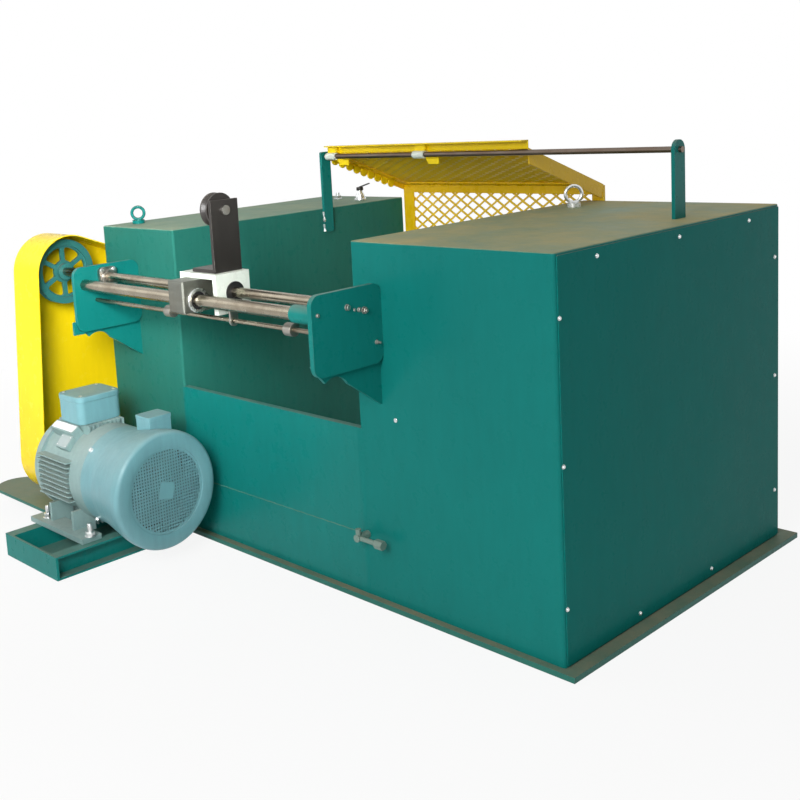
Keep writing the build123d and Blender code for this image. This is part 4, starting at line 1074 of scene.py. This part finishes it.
class MACHINE_OT_fixings(bpy.types.Operator):
    """Builds the end cover, the sill's joints, bolts, welds and plugs, and the lever valve"""

    bl_idname = "machine.fixings"
    bl_label = "Covers and fixings"

    cover_sink = 0.004
    screw_inset = 0.020
    screw_shift = -0.011
    bottom_shift = -0.029
    top_pitch = 0.350
    side_pitch = 0.328
    bottom_pitch = 0.343
    side_reach = 0.4955
    joint_half = 0.012
    seam_height = 0.164
    seam_radius = 0.0016
    bearing_flange = 0.012
    bearing_bolt = 0.007
    bearing_bolt_reach = 0.022
    post_welds = ((0.201, 0.236), (0.243, 0.268))
    post_weld_radius = 0.0042
    bracket_bolts = ((-0.643, 0.808, 0.008, 0.0), (-0.741, 0.804, 0.005, 0.0), (-0.618, 0.798, 0.004, 0.0),
                     (-0.603, 0.796, 0.006, 0.0), (-0.586, 0.792, 0.009, 0.004), (-0.548, 0.706, 0.006, 0.010))
    front_screw = (0.400, 0.506)
    front_screw_head = (0.003, 0.006, 0.0014)
    top_plug = (-0.721, 0.402)
    valve_flange = 0.021
    valve_height = 0.046
    lever_length = 0.058
    lever_lean = radians(-16)

    def execute(self, context):
        self.make_end_cover(context.scene.machine_housing.screw_diameter)
        self.make_sill_joints()
        self.make_bearing_bolts()
        self.make_small_fittings()
        self.make_lever_valve()
        dress(["left_lifting_eye"], "green_enamel")
        dress(["right_lifting_eye"], "zinc")
        dress(["drain_cock"], "cast_grey")
        return {"FINISHED"}

    def make_end_cover(self, head):
        """The cover sheet on the right cabinet's end, and its screws on washers."""
        low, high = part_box("right_end_cover")
        centre = middle_of("right_end_cover")
        face = high[0] - self.cover_sink
        bm = bmesh.new()
        turn = Matrix((AXIS_Y, AXIS_Z, AXIS_X)).transposed().to_4x4()
        outline = rounded_outline(high[1] - low[1], high[2] - low[2], 0.004, 3)
        add_prism(bm, outline, face - low[0], Matrix.Translation((low[0], centre.y, centre.z)) @ turn)
        panel = finish_piece(bm, "end_cover_panel", "cover_enamel_shaded", bevel=0.0009)
        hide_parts("right_end_cover")
        middle = centre.y + self.screw_shift
        bottom, top = low[2] + self.screw_inset, high[2] - self.screw_inset
        places = [(middle + k * self.top_pitch, top) for k in (-1, 0, 1)]
        places += [(middle + self.bottom_shift + k * self.bottom_pitch / 2, bottom) for k in (-1, 1)]
        for y in (middle - self.side_reach, middle + self.side_reach):
            places += [(y, centre.z + k * self.side_pitch) for k in (-1, 0, 1)]
        washer, rim = 0.0008, head * 0.62
        bm = bmesh.new()
        for y, z in places:
            add_turned(bm, [(0, rim), (washer, rim), (washer, head / 2)], (face, y, z), AXIS_X, 24)
            add_turned(bm, rounded_profile(0.0030, head / 2, 0.0014), (face + washer, y, z), AXIS_X, 24)
        finish_piece(bm, "end_cover_screws", "zinc")

    def make_sill_joints(self):
        """Dressed strips over the sill's joints with the cabinets, and the long seam low on the sill."""
        low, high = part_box("front_sill")
        half = self.joint_half
        back, front = low[1] + 0.0006, low[1] - 0.0004
        bm = bmesh.new()
        for x in (low[0], high[0]):
            outline = [(x - half, back), (x - half + 0.004, front), (x + half - 0.004, front), (x + half, back)]
            add_prism(bm, outline, high[2] - low[2], Matrix.Translation((0, 0, low[2])))
        finish_piece(bm, "sill_joints", "cabinet_enamel", smooth_angle=80)
        count = 60
        seam = [(low[0] + (high[0] - low[0]) * i / count, low[1] + 0.0004,
                 low[2] + self.seam_height + 0.0006 * sin(i * 1.9)) for i in range(count + 1)]
        bm = bmesh.new()
        add_bead(bm, seam, [self.seam_radius] * len(seam))
        finish_piece(bm, "sill_seam", "seam_paint")

    def make_bearing_bolts(self):
        """Four bolts on the flange of each shaft bearing."""
        reach = self.bearing_bolt_reach
        bm = bmesh.new()
        for name, end, direction in (("left_shaft_bearing", 0, 1), ("right_shaft_bearing", 1, -1)):
            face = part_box(name)[end][0] + direction * self.bearing_flange
            _, y, z = middle_of(name)
            for dy, dz in CORNERS:
                place = (face, y + dy * reach, z + dz * reach)
                add_bolt(bm, place, AXIS_X * direction, self.bearing_bolt, 0, dy * reach * 20)
        finish_piece(bm, "bearing_bolts", "zinc", bevel=0.0004)

    def make_small_fittings(self):
        """Welds on the left post, bolts on the right bracket, a front screw and the left cabinet's plug."""
        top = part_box("left_post")[1][2]
        x, y = middle_of("left_post").x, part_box("left_post")[0][1] + 0.0005
        bm = bmesh.new()
        for start, end in self.post_welds:
            add_weld(bm, (x, y, top - start), (x + 0.002, y, top - end), self.post_weld_radius)
        # The welds take the bright zinc finish so that they glint on the painted post: painted highlight.
        finish_piece(bm, "post_welds", "zinc")
        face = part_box("right_bracket")[1][0]
        bm = bmesh.new()
        for y, z, size, stud in self.bracket_bolts:
            add_bolt(bm, (face, y, z), AXIS_X, size, stud, z * 7)
        finish_piece(bm, "bracket_bolts", "machined_steel", bevel=0.0004)
        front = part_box("right_cabinet")[0][1]
        bm = bmesh.new()
        x, z = self.front_screw
        add_turned(bm, rounded_profile(*self.front_screw_head), (x, front, z), -AXIS_Y, 20)
        add_bolt(bm, (*self.top_plug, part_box("left_cabinet")[1][2]), AXIS_Z, 0.015, 0.010)
        finish_piece(bm, "cabinet_plugs", "zinc", bevel=0.0004)

    def make_lever_valve(self):
        """The lever valve on the left cabinet's top: flange with bolts, body, collar and black lever."""
        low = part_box("lever_valve")[0]
        flange = self.valve_flange
        x, y, foot = low[0] + flange, middle_of("lever_valve").y, low[2]
        profile = [(0.006, 0.0165), (0.020, 0.016), (0.030, 0.0105), (0.044, 0.0085), (self.valve_height, 0.006)]
        bm = bmesh.new()
        add_turned(bm, rounded_profile(0.007, flange, 0.002), (x, y, foot), AXIS_Z, 32)
        add_turned(bm, profile, (x, y, foot), AXIS_Z, 32)
        bolts = flange - 0.0025
        for i in range(4):
            a = radians(45 + 90 * i)
            spot = (x + bolts * cos(a), y + bolts * sin(a), foot + 0.006)
            add_turned(bm, rounded_profile(0.003, 0.0028, 0.001), spot, AXIS_Z, 12)
        body = finish_piece(bm, "valve_body", "zinc")
        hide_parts("lever_valve")
        bm = bmesh.new()
        add_turned(bm, rounded_profile(0.012, 0.0125, 0.002), (x, y, foot + 0.036), AXIS_Z, 24)
        turn = Matrix.Translation((x, y, foot + self.valve_height)) @ Matrix.Rotation(self.lever_lean, 4, "Y")
        outline = [(px + 0.022, py) for px, py in rounded_outline(self.lever_length, 0.011, 0.004)]
        add_prism(bm, outline, 0.0035, turn)
        finish_piece(bm, "valve_lever", "black_enamel", bevel=0.0008)


class MACHINE_OT_stage(bpy.types.Operator):
    """Makes the floor, the soft lights, the white surroundings and the camera"""

    bl_idname = "machine.stage"
    bl_label = "Stage and camera"

    floor_size = 60
    floor_corner = 20
    floor_depth = 0.02
    floor_gap = 0.0005
    camera_place = (2.254, -2.472, 1.276)
    camera_yaw = radians(49.07)
    camera_pitch = radians(-8.54)
    camera_roll = radians(-3.72)
    camera_shift = (0.1456, -0.149)

    def execute(self, context):
        settings = context.scene.machine_stage
        self.make_floor()
        self.make_world(settings.sky)
        self.make_light("key_light", (1.5, -3.9, 2.3), (0.0, -0.3, 0.5), 1.9, settings.key_power)
        self.make_light("fill_light", (-3.6, -2.8, 2.6), (-0.5, -0.3, 0.5), 2.6, settings.fill_power)
        self.make_light("side_light", (0.95, -2.2, 1.5), (-1.1, -0.35, 0.72), 0.9, settings.side_power, 50)
        self.make_camera(settings.lens)
        context.scene.view_settings.view_transform = "Standard"
        return {"FINISHED"}

    def show_white(self, n, kind, plain, share, output):
        """Shows white where the camera, a gloss or glass looks on it, and the plain shader to other light."""
        white = n.add(kind)
        white.inputs["Color"].default_value = (1, 1, 1, 1)
        white.inputs["Strength"].default_value = 1.0
        rays = n.add("ShaderNodeLightPath").outputs
        seen = n.math("MAXIMUM", rays["Is Camera Ray"], rays["Is Glossy Ray"])
        seen = n.math("MAXIMUM", seen, rays["Is Transmission Ray"])
        blend = n.add("ShaderNodeMixShader")
        for socket, source in zip(blend.inputs, (n.times(seen, share), plain.outputs[0], white.outputs[0])):
            n.join(source, socket)
        n.join(blend.outputs[0], n.tree.nodes[output].inputs["Surface"])

    def make_floor(self):
        """A wide pale floor that fades to white away from the machine."""
        n, shader = new_material("pale_floor")
        mottle = n.span(n.noise(n.place(), 1.5, 4.0), 0.3, 0.7)
        n.join(n.mix(mottle, (0.88, 0.88, 0.87, 1), (0.91, 0.91, 0.90, 1)), shader.inputs["Base Color"])
        shader.inputs["Roughness"].default_value = 0.7
        away = n.add("ShaderNodeVectorMath", operation="LENGTH")
        n.join(n.place(), away.inputs[0])
        share = n.span(away.outputs["Value"], 1.4, 3.2, 0.89, 1.0)
        self.show_white(n, "ShaderNodeEmission", shader, share, "Material Output")
        size, depth = self.floor_size, self.floor_depth
        bm = bmesh.new()
        add_slab(bm, (0, 0, -depth - self.floor_gap), size, size, self.floor_corner, depth, 12)
        floor = new_piece(bm, "floor", "pale_floor")

    def make_world(self, strength):
        """Even light all round, weaker from the right, in white surroundings."""
        world = bpy.data.worlds.new("studio")
        world.use_nodes = True
        bpy.context.scene.world = world
        n = Nodes(world.node_tree)
        even = world.node_tree.nodes["Background"]
        even.inputs["Color"].default_value = (1, 1, 1, 1)
        parts = n.add("ShaderNodeSeparateXYZ")
        n.join(n.add("ShaderNodeTexCoord").outputs["Generated"], parts.inputs[0])
        n.join(n.span(parts.outputs[0], -0.1, 0.8, strength, strength * 0.52), even.inputs["Strength"])
        self.show_white(n, "ShaderNodeBackground", even, 1.0, "World Output")

    def make_light(self, name, place, target, size, power, spread=180):
        data = bpy.data.lights.new(name, "AREA")
        data.shape = "DISK"
        data.size = size
        data.energy = power
        data.spread = radians(spread)
        lamp = new_object(name, data)
        lamp.location = place
        lamp.rotation_euler = (Vector(place) - Vector(target)).to_track_quat("Z", "Y").to_euler()

    def make_camera(self, lens):
        """The camera of the photo, with its small roll and its shifted frame."""
        data = bpy.data.cameras.new("photo_camera")
        data.lens = lens
        data.sensor_width = 36
        data.shift_x, data.shift_y = self.camera_shift
        data.clip_start = 0.05
        camera = new_object("photo_camera", data)
        yaw, pitch, roll = self.camera_yaw, self.camera_pitch, self.camera_roll
        ahead = Vector((-sin(yaw) * cos(pitch), cos(yaw) * cos(pitch), sin(pitch)))
        level = Vector((cos(yaw), sin(yaw), 0))
        up = level.cross(ahead)
        right = level * cos(roll) + up * sin(roll)
        top = up * cos(roll) - level * sin(roll)
        turn = Matrix((right, top, -ahead)).transposed().to_4x4()
        camera.matrix_world = Matrix.Translation(self.camera_place) @ turn
        bpy.context.scene.camera = camera


class MACHINE_PT_panel(bpy.types.Panel):
    """Lists the machine's sizes, colours and pieces"""

    bl_idname = "MACHINE_PT_panel"
    bl_label = "Wire drawing machine"
    bl_space_type = "VIEW_3D"
    bl_region_type = "UI"
    bl_category = "Wire machine"

    def draw(self, context):
        scene = context.scene
        for settings in (scene.machine_housing, scene.machine_guard, scene.machine_motor, scene.machine_stage):
            box = self.layout.box()
            for name in settings.bl_rna.properties.keys():
                if name not in ("rna_type", "name"):
                    box.prop(settings, name)
        for operator in OPERATORS:
            self.layout.operator(operator.bl_idname)


SETTINGS = (
    ("machine_housing", HousingSettings),
    ("machine_guard", GuardSettings),
    ("machine_motor", MotorSettings),
    ("machine_stage", StageSettings),
)

OPERATORS = (
    MACHINE_OT_finishes,
    MACHINE_OT_housing,
    MACHINE_OT_traverse,
    MACHINE_OT_motor,
    MACHINE_OT_guard,
    MACHINE_OT_fixings,
    MACHINE_OT_stage,
)


def register():
    for name, group in SETTINGS:
        bpy.utils.register_class(group)
        setattr(bpy.types.Scene, name, PointerProperty(type=group))
    for operator in OPERATORS:
        bpy.utils.register_class(operator)
    bpy.utils.register_class(MACHINE_PT_panel)


def unregister():
    bpy.utils.unregister_class(MACHINE_PT_panel)
    for operator in reversed(OPERATORS):
        bpy.utils.unregister_class(operator)
    for name, group in reversed(SETTINGS):
        delattr(bpy.types.Scene, name)
        bpy.utils.unregister_class(group)


def main():
    register()
    for operator in OPERATORS:
        group, name = operator.bl_idname.split(".")
        getattr(getattr(bpy.ops, group), name)()


if __name__ == "__main__":
    main()
